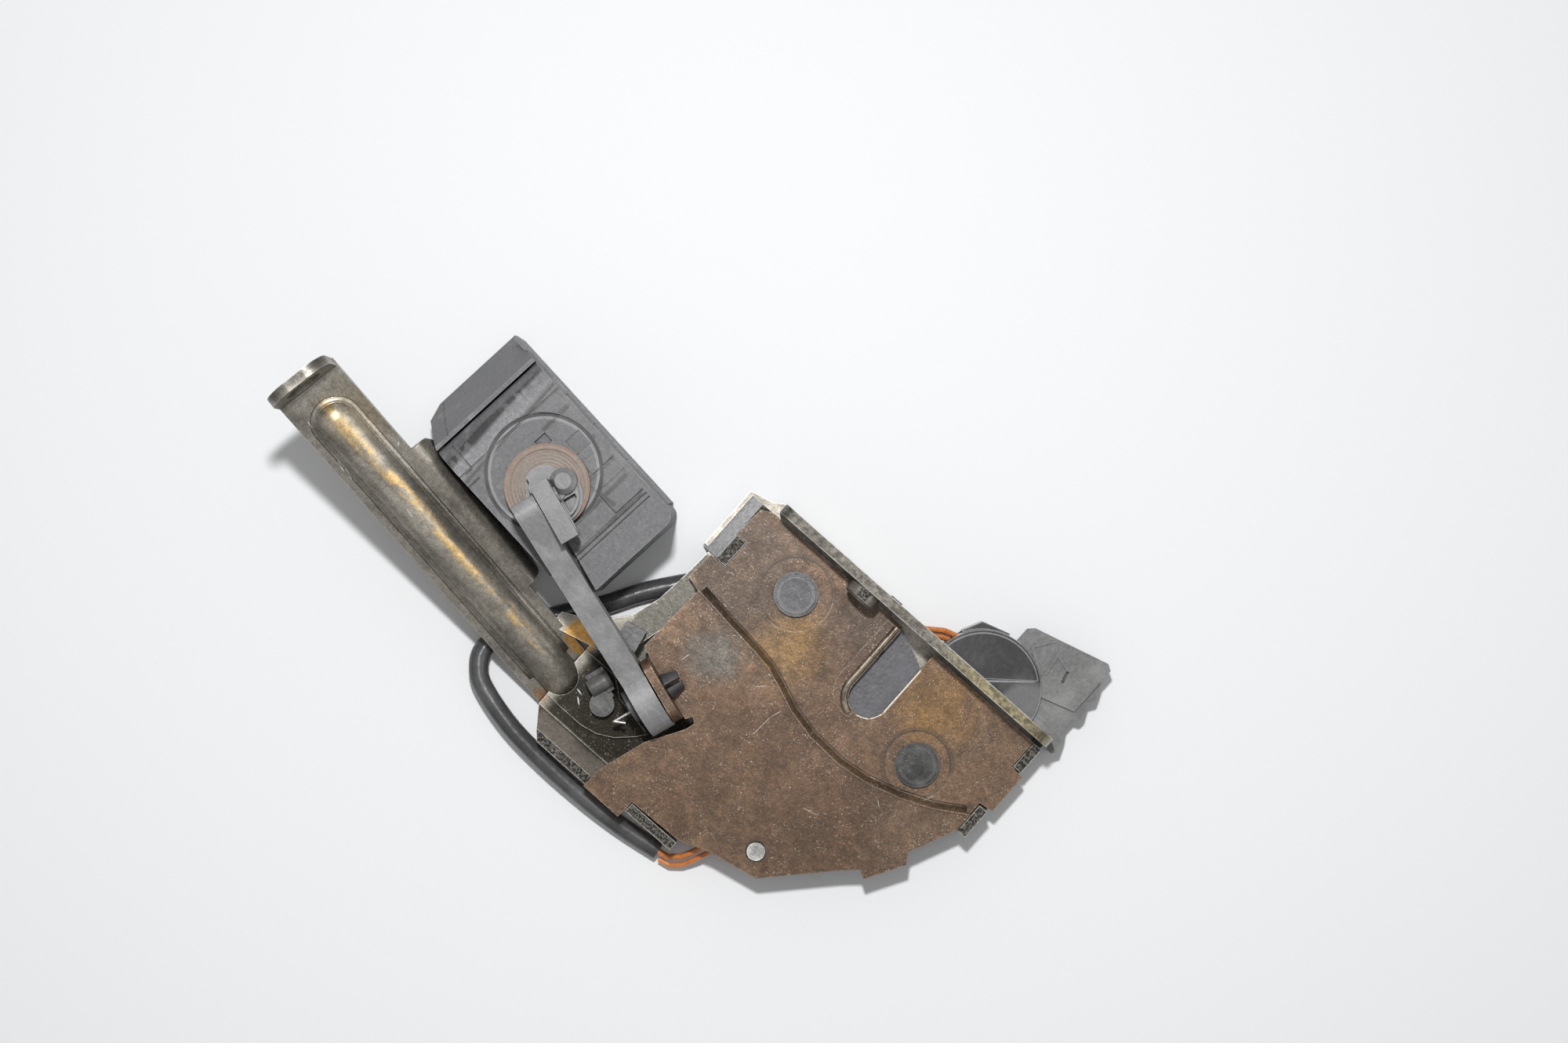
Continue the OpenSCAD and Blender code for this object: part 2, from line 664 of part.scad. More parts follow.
module hook_plunger() color(grey) {
    rack_bottom = floor_z + 0.4;
    rack_top = act_h - act_wall - stroke - 0.4;
    rack_w = 5;
    tip_u = rack_line - 0.85 * rack_m;
    root_u = rack_line + 1.1 * rack_m;
    pitch = PI * rack_m;
    hub_top = crank_z + tip_z - 4;
    collar_r = 7;
    collar_y = 3.4;
    disc_top = act_h + disc_gap + disc_t;
    finger_l = 15.5;
    slot_h = cross_r + cross_gap;
    at_actuator() {
        along_y(plunger_v - rack_w / 2, rack_w) union() {
            translate([root_u, rack_bottom]) square([plunger_u + 2.6 - root_u, rack_top - rack_bottom]);
            for (i = [-5 : 1])
                let (z = gear_z + i * pitch)
                    if (z - pitch / 3 > rack_bottom && z + pitch / 3 < rack_top)
                        polygon(rack_tooth(z, rack_m, root_u + 0.01, tip_u));
        }
        difference() {
            translate([plunger_u, plunger_v, rack_top - cut])
                cylinder(r = plunger_r, h = hub_top - rack_top + cut);
            translate([root_u - 10, -20, rack_top - 2 * cut])
                cube([10, 40, gear_z + rack_pitch_r + 1.6 - rack_top + 2 * cut]);
        }
    }
    // Collar and knob, cut away beside the lever
    difference() {
        union() {
            at_crank() translate([tip_x, collar_y, disc_top - crank_z]) {
                cylinder(r = collar_r, h = 1.6);
                cylinder(r = collar_r - 0.8, h = 3.6);
                translate([-2.1, 4, 0]) {
                    cylinder(r = 3.3, h = 5.2);
                    translate([0, 0, 5.2]) cylinder(r1 = 3.3, r2 = 2, h = 1.2);
                }
            }
            at_actuator() translate([plunger_u, plunger_v, disc_top - 0.5])
                cylinder(r = plunger_r + 1.2, h = hub_top - disc_top + 0.5);
        }
        at_crank() translate([tip_x - 14, -10, disc_top + 0.8 - crank_z]) cube([30, 10, 10]);
        // Pocket between the knob and the finger
        at_crank() translate([tip_x, 0, disc_top + 0.6 - crank_z]) linear_extrude(6) intersection() {
            translate([0, collar_y]) circle(r = collar_r - 1.4);
            translate([1.8, 4.9]) square([5, 3.4]);
        }
    }
    at_crank() difference() {
        translate([tip_x - 4.2, 0, tip_z - 4.4]) cube([finger_l, 4.6, 8.8]);
        translate([tip_x, 0, tip_z]) {
            rod_y(slot_h, -cut, 8);
            translate([0, -cut, -slot_h]) cube([slot_l, 8, 2 * slot_h]);
            translate([slot_l, 0, 0]) rod_y(slot_h, -cut, 8);
        }
    }
}

module plunger_disc() color([0.58, 0.48, 0.38]) at_actuator()
    translate([plunger_u, plunger_v, act_h + disc_gap]) {
    dish = 0.5;
    difference() {
        union() {
            difference() {
                cylinder(r = disc_r, h = disc_t);
                translate([0, 0, disc_t - dish]) cylinder(r = disc_r - 1.4, h = 2 * dish);
            }
            cylinder(r = 6.8, h = disc_t);
        }
        translate([0, 0, -cut]) cylinder(r = plunger_r, h = disc_t + 2 * cut);
    }
}

// Actuator

module act_plan(inset) {
    polygon([[act_left + inset, act_v - inset], [act_left + inset, -9.6 + inset * 0.6],
        [-31.3 + inset * 0.8, -14 + inset * 0.8], [-22.5 + inset * 0.6, -16.3 + inset],
        [20 - inset, -16.3 + inset], [20 - inset, -11.3 + inset], [act_right - inset, -11.3 + inset],
        [act_right - inset, act_v - act_corner], [act_right - act_corner, act_v - act_corner],
        [act_right - act_corner, act_v - inset]]);
    translate([act_right - act_corner, act_v - act_corner]) circle(r = act_corner - inset);
}

// Room under the crank's long arm where it crosses the housing's corner
module lever_relief(grow) {
    at_crank() along_y(-crank_gap - crank_w - 0.8 - grow, crank_w + 1.6 + 2 * grow)
        polygon([[0, -8 - grow], [tip_x, tip_z - 6.6 - grow], [tip_x, tip_z + 20], [0, tip_z + 20]]);
}

module left_slope(inset) {
    along_y(-30, 60) polygon([[act_left + inset, table_z - cut], [act_left + inset, 2],
        [-23.4 + inset, 29.5 - inset], [-22.3, 29.5 - inset], [-22.3, split_z], [40, split_z],
        [40, table_z - cut]]);
}

module left_slope_open(inset) {
    along_y(-30, 60) polygon([[act_left + inset, table_z - cut], [act_left + inset, 2],
        [-24.3 + inset, split_z], [-22.3 + inset, split_z + 6], [40, split_z + 6], [40, table_z - cut]]);
}

screw_spots = [[37, 9.5], [57, 20.5]];

module actuator_body() color(black) {
    difference() {
        union() {
            difference() {
                at_actuator() intersection() {
                    translate([0, 0, table_z]) linear_extrude(40) act_plan(0);
                    left_slope(0);
                }
                lever_relief(0);
                difference() {
                    at_actuator() intersection() {
                        translate([0, 0, floor_z]) linear_extrude(split_z - floor_z + cut) act_plan(act_wall);
                        left_slope_open(act_wall);
                    }
                    lever_relief(act_wall);
                }
            }
            // Cradle for the motor and bearings for the gear's axle
            at_actuator() {
                for (v = [-8, 6])
                    difference() {
                        translate([motor_u - 8.4, v, floor_z - 0.5]) cube([16.8, 2, 6]);
                        translate([motor_u, 0, motor_z]) rod_y(motor_r + fit, v - cut, 4);
                    }
                for (v = [-14.8, 13.4])
                    difference() {
                        translate([gear_u - 3, v, floor_z - 0.5]) cube([6, 1.6, gear_z + 3 - floor_z]);
                        translate([gear_u, 0, gear_z]) rod_y(axle_r + fit, v - cut, 4);
                    }
            }
            // Lip along the upper side
            at_actuator() translate([-31, act_v - 0.4, table_z]) cube([57, 1.2, 22]);
            // Bosses that meet the bracket's ear
            for (s = screw_spots)
                at_arm() translate([s[0], 0, s[1]]) rod_y(4, ear_y - 5.5, 5.5);
        }
        for (s = screw_spots)
            at_arm() translate([s[0], 0, s[1]]) rod_y(1.5, ear_y - 4, 5);
    }
}

module actuator_cover() color(black) {
    edge_r = 7;
    left = -22;
    groove = 0.6;
    difference() {
        at_actuator() {
            intersection() {
                translate([0, 0, split_z]) linear_extrude(act_h - split_z) act_plan(0);
                along_y(-30, 60) union() {
                    translate([left + edge_r, split_z]) square([60, act_h - split_z]);
                    translate([left, split_z]) square([60, act_h - split_z - edge_r]);
                    translate([left + edge_r, act_h - edge_r]) circle(r = edge_r);
                }
            }
            // Raised pads beside the round boss
            translate([-12.2, 9.2, act_h - cut]) cube([4.2, 6.4, cut + 0.5]);
            translate([5, 8.6, act_h - cut]) cube([3.4, 7, cut + 0.5]);
            translate([8.9, 6.4, act_h - cut]) cube([3.6, 9.2, cut + 0.5]);
            // Clips over the lip
            for (u = [-16, -6, 6])
                translate([u, act_v - 0.4, split_z + 0.4]) cube([5, 1.2, 2.4]);
        }
        lever_relief(0);
        difference() {
            at_actuator() translate([0, 0, split_z - cut]) linear_extrude(act_h - act_wall - split_z + cut)
                intersection() {
                    act_plan(act_wall);
                    translate([left + 4.6, -20]) square([60, 40]);
                }
            lever_relief(act_wall);
        }
        at_actuator() {
            translate([plunger_u, plunger_v, split_z]) cylinder(r = plunger_r + 0.3, h = 20);
            // Groove round the boss
            translate([0, 0, act_h - groove]) difference() {
                cylinder(r = 14.8, h = 2);
                translate([0, 0, -cut]) cylinder(r = 13.9, h = 4);
            }
            translate([-13.3, -30, act_h - groove]) cube([0.7, 60, 2]);
            translate([20.5, -11, act_h - groove]) cube([0.5, 26.3, 2]);
            translate([21.7, -11, act_h - groove]) cube([0.5, 26.3, 2]);
            translate([13.4, 6, act_h - groove]) cube([6.4, 0.5, 2]);
            translate([19.3, 6.2, act_h - groove]) cube([0.5, 9, 2]);
            translate([-7.2, 3.2, act_h - 1.2]) cube([2.8, 3.6, 2]);
            translate([-2.1, 8.9, act_h - groove]) cube([4.7, 4.5, 2]);
        }
    }
}

module actuator_motor() color([0.6, 0.6, 0.6]) at_actuator() translate([motor_u, 0, motor_z]) {
    rod_y(motor_r, -9, 18);
    rod_y(3, 9 - cut, 0.5 + cut);
    rod_y(1, 9 - cut, 4.2 + cut);
}

function gear_points(teeth, m) = [for (i = [0 : teeth - 1]) for (c = [[-0.3, -1.15], [-0.11, 0.85],
    [0.11, 0.85], [0.3, -1.15]]) let (a = (i + c[0]) * 360 / teeth, r = m * (teeth / 2 + c[1]))
    [r * cos(a), r * sin(a)]];

module motor_pinion() color([0.85, 0.82, 0.7]) at_actuator() translate([motor_u, 0, motor_z]) difference() {
    along_y(9.8, 3.1) rotate(motor_angle + 180 / pinion_teeth) polygon(gear_points(pinion_teeth, gear_m));
    rod_y(1 + fit, 9, 5);
}

module drive_gear() color([0.85, 0.82, 0.7]) at_actuator() translate([gear_u, 0, gear_z]) difference() {
    union() {
        along_y(10, 2.8) rotate(motor_angle) polygon(gear_points(gear_teeth, gear_m));
        along_y(-4.6, 5.8) rotate(180 / rack_teeth) polygon(gear_points(rack_teeth, rack_m));
        rod_y(3, 1, 9.5);
        rod_y(2.6, -12.8, 9);
    }
    rod_y(axle_r + fit, -14, 28);
}

module gear_axle() color(steel) at_actuator() translate([gear_u, 0, gear_z]) rod_y(axle_r, -14.4, 29.2);

module actuator_screws() color([0.55, 0.55, 0.52]) for (s = screw_spots)
    at_arm() translate([s[0], 0, s[1]]) {
        difference() {
            rod_y(3.4, ear_y + base_t, 2);
            rotate([0, s[0], 0]) translate([-2, ear_y + base_t + 1, -0.4]) cube([4, 2, 0.8]);
            rotate([0, s[0], 0]) translate([-0.4, ear_y + base_t + 1, -2]) cube([0.8, 2, 4]);
        }
        rod_y(1.5, ear_y - 3.6, base_t + 3.6 + 0.1);
    }

// Latch switch

button_r = 1.2;

module latch_switch() color(black) translate([rivet_pos[0], rivet_pos[1], base_t]) difference() {
    translate([-12, -3.6, 0]) cube([17.2, 9.6, 6.4]);
    translate([0, 0, -cut]) cylinder(r = 1.5 + fit, h = 9);
    translate([-6, 3, 3.2]) rod_y(button_r + fit, 0, 6);
}

module switch_button() color([0.75, 0.2, 0.15])
    translate([rivet_pos[0] - 6, rivet_pos[1] + 3, base_t + 3.2]) rod_y(button_r, 1, 4);

// Lead and wires: a tube of rings swept along a route

function unit(v) = v / norm(v);
function heading(p, i) = unit(p[min(i + 1, len(p) - 1)] - p[max(i - 1, 0)]);
function side(p, i) = unit(cross(heading(p, i), [0, 0, 1]));
function ring_point(p, i, r, a) = p[i] + r * cos(a) * side(p, i)
    + r * sin(a) * cross(side(p, i), heading(p, i));

module tube(p, r, sides) {
    last = len(p) - 1;
    polyhedron(
        points = [for (i = [0 : last]) for (j = [0 : sides - 1]) ring_point(p, i, r, j * 360 / sides)],
        faces = concat([[for (j = [0 : sides - 1]) j]],
            [for (i = [0 : last - 1]) for (j = [0 : sides - 1])
                let (k = (j + 1) % sides)
                    [i * sides + j, (i + 1) * sides + j, (i + 1) * sides + k, i * sides + k]],
            [[for (j = [sides - 1 : -1 : 0]) last * sides + j]]));
}

sleeve_route = [[-52, -29, 1], [-56.5, -34.5, 1], [-62, -42, 1], [-67.2, -50.8, 1], [-73.2, -59, 1.2],
    [-78.4, -67.4, 1.8], [-82.2, -75, 2.8], [-83, -80, 3.4], [-81, -84, 3.8], [-76.5, -87.2, 4],
    [-65, -90.2, 4], [-52, -91.4, 3.4], [-38, -91.6, 2.4], [-26, -91, 1.4], [-14.5, -89.4, 0.8]];
switch_route = [[-14.5, -89.4, 0.8], [-11.5, -88.7, 1.2], [-9, -86.2, 2], [-7.6, -83, 3.4],
    [-6.4, -79.6, 4.6], [-5.4, -75.3, 5]];
cap_route = [[-53.4, -30.4, 0.8], [-50.8, -27.6, -1], [-42, -25.6, -1], [-30, -25.6, -1], [-18, -17.5, -1],
    [-7, -5, -1], [0.4, 0.4, -1], [3.4, 2.6, -0.8], [6.8, 3.8, 1.4]];

module cable_sleeve() color(black) tube(sleeve_route, sleeve_r, 12);

module switch_wires() color(copper) for (k = [[0, 0, 0], [1.6, -1.6, 0], [0, 0, 1.8]])
    tube([for (q = switch_route) q + k], wire_r, 8);

module connector_wires() color(copper) for (k = [[0, 0, 0], [0.9, -1.4, 0]])
    tube([for (q = cap_route) q + k], wire_r, 8);

// Wiring cap and connector on the flange's outer face

cap_pos = [-18.4, -2];
cap_r = 15;
cap_top = 9;

module wiring_cap() color(black) translate([flange_end, 0, 0]) difference() {
    union() {
        translate([0, 0, table_z]) linear_extrude(cap_top - table_z) intersection() {
            translate(cap_pos) circle(r = cap_r);
            translate([-60, fit]) square([120, 30]);
        }
        translate([0, 0, cap_top - cut]) linear_extrude(cut + 0.7) intersection() {
            translate(cap_pos) circle(r = cap_r - 0.8);
            polygon([[-38.4, fit], [-19.8, fit], [-9.2, 8.6], [-9.2, 20], [-38.4, 20]]);
        }
        translate([0, 0, table_z]) linear_extrude(6)
            polygon([[-31.8, fit], [-31.8, 6], [-29.4, 10.9], [-22, 13.2], [-20.4, 5], [-26.4, fit]]);
    }
    translate([-33.4, 0.5, -1]) cube([2.4, 5, 5]);
}

module connector_housing() color([0.3, 0.3, 0.31]) translate([flange_end, 0, 0]) {
    top = 8.5;
    difference() {
        union() {
            translate([0, 0, top - 1.8]) linear_extrude(1.8)
                polygon([[-19.9, 11], [-19.9, 17], [-18.4, 18.5], [1.6, 24], [3.3, 23], [3.2, 9],
                    [-5.4, 6.2]]);
            translate([0, 0, table_z]) linear_extrude(top - table_z - 1)
                polygon([[-14.4, 10], [-14.4, 17], [2.8, 20.5], [4.4, 17.2], [5.4, 14.6], [4.2, 12.8],
                    [5.7, 9.6], [5.5, 7.9], [4.1, 7.2], [4, 4.6], [5.6, 2], [7, -1.4], [6, -3],
                    [3.8, -2.6], [3.2, fit], [-3.2, fit], [-4.4, 1]]);
            // Moulded ribs of the latch plate
            translate([0, 0, top - cut]) linear_extrude(cut + 0.5) {
                polygon([[-16.4, 14.2], [-12.8, 19.4], [-12, 19.4], [-15.4, 14.6], [-9.4, 10.4], [-10, 10]]);
                polygon([[-10, 17.4], [-4.4, 16], [-4.6, 15.4], [-9.2, 16.6], [-8.4, 11], [-9, 11]]);
            }
        }
        translate([cap_pos[0], cap_pos[1], table_z - cut]) cylinder(r = cap_r + 0.1, h = 20);
        translate([-1.4, 2, 0]) cube([12, 13.5, 5.4]);
        translate([-4.4, 12.4, top - 1.2]) rotate([0, 0, 15]) cube([0.7, 3.2, 4]);
    }
}

module connector_terminals() color([0.75, 0.68, 0.45]) for (y = [5, 8.7, 12.4])
    translate([flange_end - 3.4, y, 2.7]) rotate([0, 90, 0]) cylinder(r = 0.5, h = 6.5, $fn = 24);

base_plate();
cover_plate();
fork_rivet();
pawl_rivet();
cover_rivet();
fork();
fork_jacket();
fork_spring();
pawl();
pawl_spring();
crank_lever();
lever_pin();
lever_spring();
lever_stop();
release_guide();
hook_plunger();
plunger_disc();
actuator_body();
actuator_cover();
actuator_motor();
motor_pinion();
drive_gear();
gear_axle();
actuator_screws();
latch_switch();
switch_button();
cable_sleeve();
switch_wires();
connector_wires();
wiring_cap();
connector_housing();
connector_terminals();
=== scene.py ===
import math
import bpy
import bmesh
from mathutils import Matrix, Vector


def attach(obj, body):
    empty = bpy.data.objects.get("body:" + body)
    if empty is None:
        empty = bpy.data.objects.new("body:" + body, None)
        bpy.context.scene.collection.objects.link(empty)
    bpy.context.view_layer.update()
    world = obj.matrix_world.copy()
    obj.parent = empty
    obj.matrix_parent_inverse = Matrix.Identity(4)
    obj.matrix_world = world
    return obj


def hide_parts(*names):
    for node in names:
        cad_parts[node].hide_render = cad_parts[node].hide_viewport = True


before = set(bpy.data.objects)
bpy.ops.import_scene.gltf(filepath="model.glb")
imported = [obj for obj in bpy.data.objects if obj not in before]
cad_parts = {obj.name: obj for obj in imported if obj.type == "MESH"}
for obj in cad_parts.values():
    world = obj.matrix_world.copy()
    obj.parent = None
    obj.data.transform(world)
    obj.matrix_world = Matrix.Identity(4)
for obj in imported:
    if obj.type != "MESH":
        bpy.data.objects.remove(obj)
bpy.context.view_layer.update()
scene = bpy.context.scene
radians = math.radians
MM = 0.001

# Camera at the photo's place: straight above the case, turned 41.5 degrees
cam_data = bpy.data.cameras.new("camera")
cam_data.sensor_width = 36.0
cam_data.lens = 63.0
cam_data.clip_start = 0.05
cam_data.clip_end = 20.0
cam = bpy.data.objects.new("camera", cam_data)
cam.location = (-0.0466, -0.0038, 0.713)
cam.rotation_euler = (0, 0, radians(41.5))
scene.collection.objects.link(cam)
scene.camera = cam


class Nodes:
    """Builds a material's node tree. Places and lengths are in mm, noise scales are per metre."""

    def __init__(self, name):
        self.mat = bpy.data.materials.new(name)
        self.mat.use_nodes = True
        self.t = self.mat.node_tree
        self.bsdf = next(n for n in self.t.nodes if n.type == "BSDF_PRINCIPLED")
        self.pos = self.t.nodes.new("ShaderNodeTexCoord").outputs["Object"]
        self.mm = self.gain(self.pos, 1.0 / MM)
        self.x, self.y, self.z = self.parts(self.mm)

    def link(self, a, b):
        self.t.links.new(a, b)

    def put(self, socket, value):
        if hasattr(value, "is_output"):
            self.link(value, socket)
        elif socket.type == "RGBA":
            socket.default_value = (*value, 1.0)
        else:
            socket.default_value = value

    def parts(self, vector):
        n = self.t.nodes.new("ShaderNodeSeparateXYZ")
        self.link(vector, n.inputs[0])
        return n.outputs[0], n.outputs[1], n.outputs[2]

    def scaled(self, x, y, z, turn):
        """Object coordinates in metres, stretched and then turned about z."""
        n = self.t.nodes.new("ShaderNodeMapping")
        n.inputs["Scale"].default_value = (x, y, z)
        n.inputs["Rotation"].default_value = (0, 0, turn)
        self.link(self.pos, n.inputs["Vector"])
        return n.outputs["Vector"]

    def noise(self, scale, detail, rough=0.55, vec=None, distort=0.0):
        n = self.t.nodes.new("ShaderNodeTexNoise")
        n.inputs["Scale"].default_value = scale
        n.inputs["Detail"].default_value = detail
        n.inputs["Roughness"].default_value = rough
        n.inputs["Distortion"].default_value = distort
        self.link(vec or self.pos, n.inputs["Vector"])
        return n.outputs["Fac"]

    def cells(self, scale):
        n = self.t.nodes.new("ShaderNodeTexVoronoi")
        n.inputs["Scale"].default_value = scale
        self.link(self.pos, n.inputs["Vector"])
        return n.outputs["Distance"]

    def ramp(self, value, lo, hi, a=0.0, b=1.0):
        """Smoothly from a, where the value is lo, to b, where it is hi."""
        n = self.t.nodes.new("ShaderNodeMapRange")
        n.interpolation_type = "SMOOTHSTEP"
        n.inputs["From Min"].default_value = lo
        n.inputs["From Max"].default_value = hi
        n.inputs["To Min"].default_value = a
        n.inputs["To Max"].default_value = b
        self.put(n.inputs["Value"], value)
        return n.outputs["Result"]

    def fall(self, value, lo, hi):
        """1 up to lo, falling to 0 at hi."""
        return self.ramp(value, lo, hi, 1.0, 0.0)

    def band(self, value, a, b, c, d):
        """1 between b and c, falling to 0 at a and at d."""
        return self.product(self.ramp(value, a, b), self.fall(value, c, d))

    def math(self, op, a, b=0.0, c=None):
        n = self.t.nodes.new("ShaderNodeMath")
        n.operation = op
        self.put(n.inputs[0], a)
        self.put(n.inputs[1], b)
        if c is not None:
            self.put(n.inputs[2], c)
        return n.outputs[0]

    def product(self, *factors):
        out = factors[0]
        for factor in factors[1:]:
            out = self.math("MULTIPLY", out, factor)
        return out

    def largest(self, *values):
        out = values[0]
        for value in values[1:]:
            out = self.math("MAXIMUM", out, value)
        return out

    def without(self, mask):
        """0 where the mask is 1, and the other way round."""
        return self.math("SUBTRACT", 1.0, mask)

    def vector(self, op, a, b):
        n = self.t.nodes.new("ShaderNodeVectorMath")
        n.operation = op
        self.put(n.inputs[0], a)
        self.put(n.inputs[1], b)
        return n

    def mix(self, fac, a, b):
        n = self.t.nodes.new("ShaderNodeMix")
        n.data_type = "RGBA"
        self.put(n.inputs["Factor"], fac)
        self.put(n.inputs[6], a)
        self.put(n.inputs[7], b)
        return n.outputs[2]

    def blend(self, fac, a, b):
        n = self.t.nodes.new("ShaderNodeMix")
        self.put(n.inputs[0], fac)
        self.put(n.inputs[2], a)
        self.put(n.inputs[3], b)
        return n.outputs[0]

    def gain(self, colour, g):
        """The colour times the factor g."""
        n = self.t.nodes.new("ShaderNodeVectorMath")
        n.operation = "SCALE"
        self.put(n.inputs[0], colour)
        self.put(n.inputs["Scale"], g)
        return n.outputs["Vector"]

    def tint(self, colour, by):
        """The colour times another, channel by channel."""
        return self.vector("MULTIPLY", colour, by).outputs["Vector"]

    def paint(self, base, colour, amount, *masks):
        """The base with a colour over it, by the amount, where all the masks are 1."""
        return self.mix(self.product(*masks, amount), base, colour)

    def shade(self, base, factor, *masks):
        """The base times a factor where all the masks are 1."""
        return self.gain(base, self.blend(self.product(*masks), 1.0, factor))

    def painted_shade_in_gaps(self, colour, darkest, reach):
        """The colour with painted shade: darker where the surface lies deep in a gap or a corner."""
        n = self.t.nodes.new("ShaderNodeAmbientOcclusion")
        n.samples = 8
        n.inputs["Distance"].default_value = reach * MM
        return self.gain(colour, self.ramp(n.outputs["AO"], 0.20, 0.85, darkest, 1.0))

    def along(self, ax, ay, c):
        """The distance ax x + ay y + c."""
        n = self.vector("DOT_PRODUCT", self.mm, (ax, ay, 0.0))
        return self.math("ADD", n.outputs["Value"], c)

    def from_point(self, x, y):
        """How far the surface lies from (x, y), seen from above."""
        dx = self.math("SUBTRACT", self.x, x)
        dy = self.math("SUBTRACT", self.y, y)
        return self.math("SQRT", self.math("ADD", self.product(dx, dx), self.product(dy, dy)))

    def spot(self, x, y, r, soft, wobble=0.0, scale=0.0):
        """1 inside a soft disc about (x, y), 0 outside it; noise makes its edge wobble."""
        d = self.from_point(x, y)
        if wobble:
            shift = self.math("SUBTRACT", self.noise(scale, 3), 0.5)
            d = self.math("ADD", d, self.product(shift, wobble))
        return self.fall(d, r - soft, r + soft)

    def over_line(self, points):
        """How far along y the surface lies above a line of (x, y) points."""
        left, right, low, high = -60.0, 46.0, -45.0, -20.0
        n = self.t.nodes.new("ShaderNodeFloatCurve")
        c = n.mapping.curves[0]
        spots = [((x - left) / (right - left), (y - low) / (high - low)) for x, y in points]
        c.points[0].location = spots[0]
        c.points[1].location = spots[-1]
        for p in spots[1:-1]:
            c.points.new(*p)
        n.mapping.update()
        u = self.math("DIVIDE", self.math("SUBTRACT", self.x, left), right - left)
        self.link(u, n.inputs["Value"])
        line = self.math("MULTIPLY_ADD", n.outputs["Value"], high - low, low)
        return self.math("SUBTRACT", self.y, line)

    def normal(self):
        return self.t.nodes.new("ShaderNodeNewGeometry").outputs["Normal"]

    def up(self):
        """How far the surface faces up: 1 where it is level."""
        return self.parts(self.normal())[2]

    def edges(self, radius, worn):
        """1 on the edges, patchy along their length: worn edges, and on the glossy black cap painted
        highlights.
        """
        b = self.t.nodes.new("ShaderNodeBevel")
        b.samples = 6
        b.inputs["Radius"].default_value = radius * MM
        flat = self.vector("DOT_PRODUCT", b.outputs["Normal"], self.normal()).outputs["Value"]
        patches = self.ramp(self.noise(330, 4, 0.65), worn - 0.14, worn + 0.1)
        return self.product(self.fall(flat, 0.90, 0.985), patches)

    def bump(self, height, strength, distance, under=None):
        n = self.t.nodes.new("ShaderNodeBump")
        n.inputs["Strength"].default_value = strength
        n.inputs["Distance"].default_value = distance * MM
        self.put(n.inputs["Height"], height)
        if under is not None:
            self.link(under, n.inputs["Normal"])
        return n.outputs["Normal"]

    def done(self, colour, rough, metal, normal, spec=0.5):
        b = self.bsdf
        self.put(b.inputs["Base Color"], colour)
        self.put(b.inputs["Roughness"], rough)
        self.put(b.inputs["Metallic"], metal)
        self.link(normal, b.inputs["Normal"])
        b.inputs["Specular IOR Level"].default_value = spec
        return self.mat


def lines(m, scale, angle, stretch, width):
    """Fine streaks along one direction."""
    v = m.scaled(stretch, 1.0, 1.0, angle)
    return m.ramp(m.noise(scale, 2.0, 0.6, v), 0.5 - width, 0.5)


def strokes(m, marks, width):
    """1 on a few straight scratches, each from (x0, y0) to (x1, y1)."""
    masks = []
    for x0, y0, x1, y1 in marks:
        length = math.hypot(x1 - x0, y1 - y0)
        ux, uy = (x1 - x0) / length, (y1 - y0) / length
        run = m.along(ux, uy, -(x0 * ux + y0 * uy))
        off = m.math("ABSOLUTE", m.along(-uy, ux, x0 * uy - y0 * ux))
        ends = m.band(run, -0.2, 0.6, length - 1.0, length)
        masks.append(m.product(m.fall(off, 0.4 * width, width), ends))
    return m.largest(*masks)


def mottled(m, colour, amount, coarse=700, fine=2300):
    """The colour with a soft mottle at two fine scales."""
    a = m.ramp(m.noise(coarse, 4, 0.65), 0.3, 0.7, 1.0 - amount, 1.0 + amount)
    b = m.ramp(m.noise(fine, 2, 0.5), 0.3, 0.7, 1.0 - amount, 1.0 + amount)
    return m.gain(m.gain(colour, a), b)


def flecks(m, colour, light, amount, scale=2600, patches=260):
    """The colour with clusters of small pale flecks."""
    f = m.ramp(m.noise(scale, 2, 0.5), 0.60, 0.70)
    where = m.ramp(m.noise(patches, 4, 0.6), 0.42, 0.62, 0.15, 1.0)
    return m.paint(colour, light, amount, f, where)


def lighter(colour, factor, add=0.0):
    """The colour times the factor plus a little, up to white."""
    return tuple(min(1.0, factor * c + add) for c in colour)


# The line of the pressed step across the cover, in mm
JOGGLE = [(-50.6, -31.2), (-40, -32.5), (-30, -33.5), (-25, -34.2), (-20, -36), (-13, -38.7),
          (-5, -40.4), (5, -40.8), (13, -39.7), (22, -37), (30, -33.5), (37.6, -28.8)]

# Warm and dark zones of the cover's coating, and painted shade beside the flange (the zone at -15, -11): x,
# y, radius, softness, amount, colour
COVER_TONE_AND_SHADE_ZONES = [
    (-25, -26, 9, 6, 0.8, (0.215, 0.140, 0.050)), (14, -14, 9, 6, 0.8, (0.225, 0.140, 0.050)),
    (-46, -20, 16, 7, 0.75, (0.090, 0.070, 0.058)), (12, -54, 18, 12, 0.5, (0.090, 0.052, 0.030)),
    (-15, -11, 9, 6, 0.8, (0.082, 0.062, 0.048)), (30, -44, 9, 6, 0.4, (0.175, 0.132, 0.104)),
]

# The recesses round the two pivots: x, y, radius
RECESSES = [(-32, -15.7, 10.4), (20, -27.8, 9.6)]

# Centres of the round boss on the actuator and of the disc on the plunger
BOSS = (-99.1, -34.0)
DISC = (-96.0, -36.0)
DISC_RIDGE = 0.85


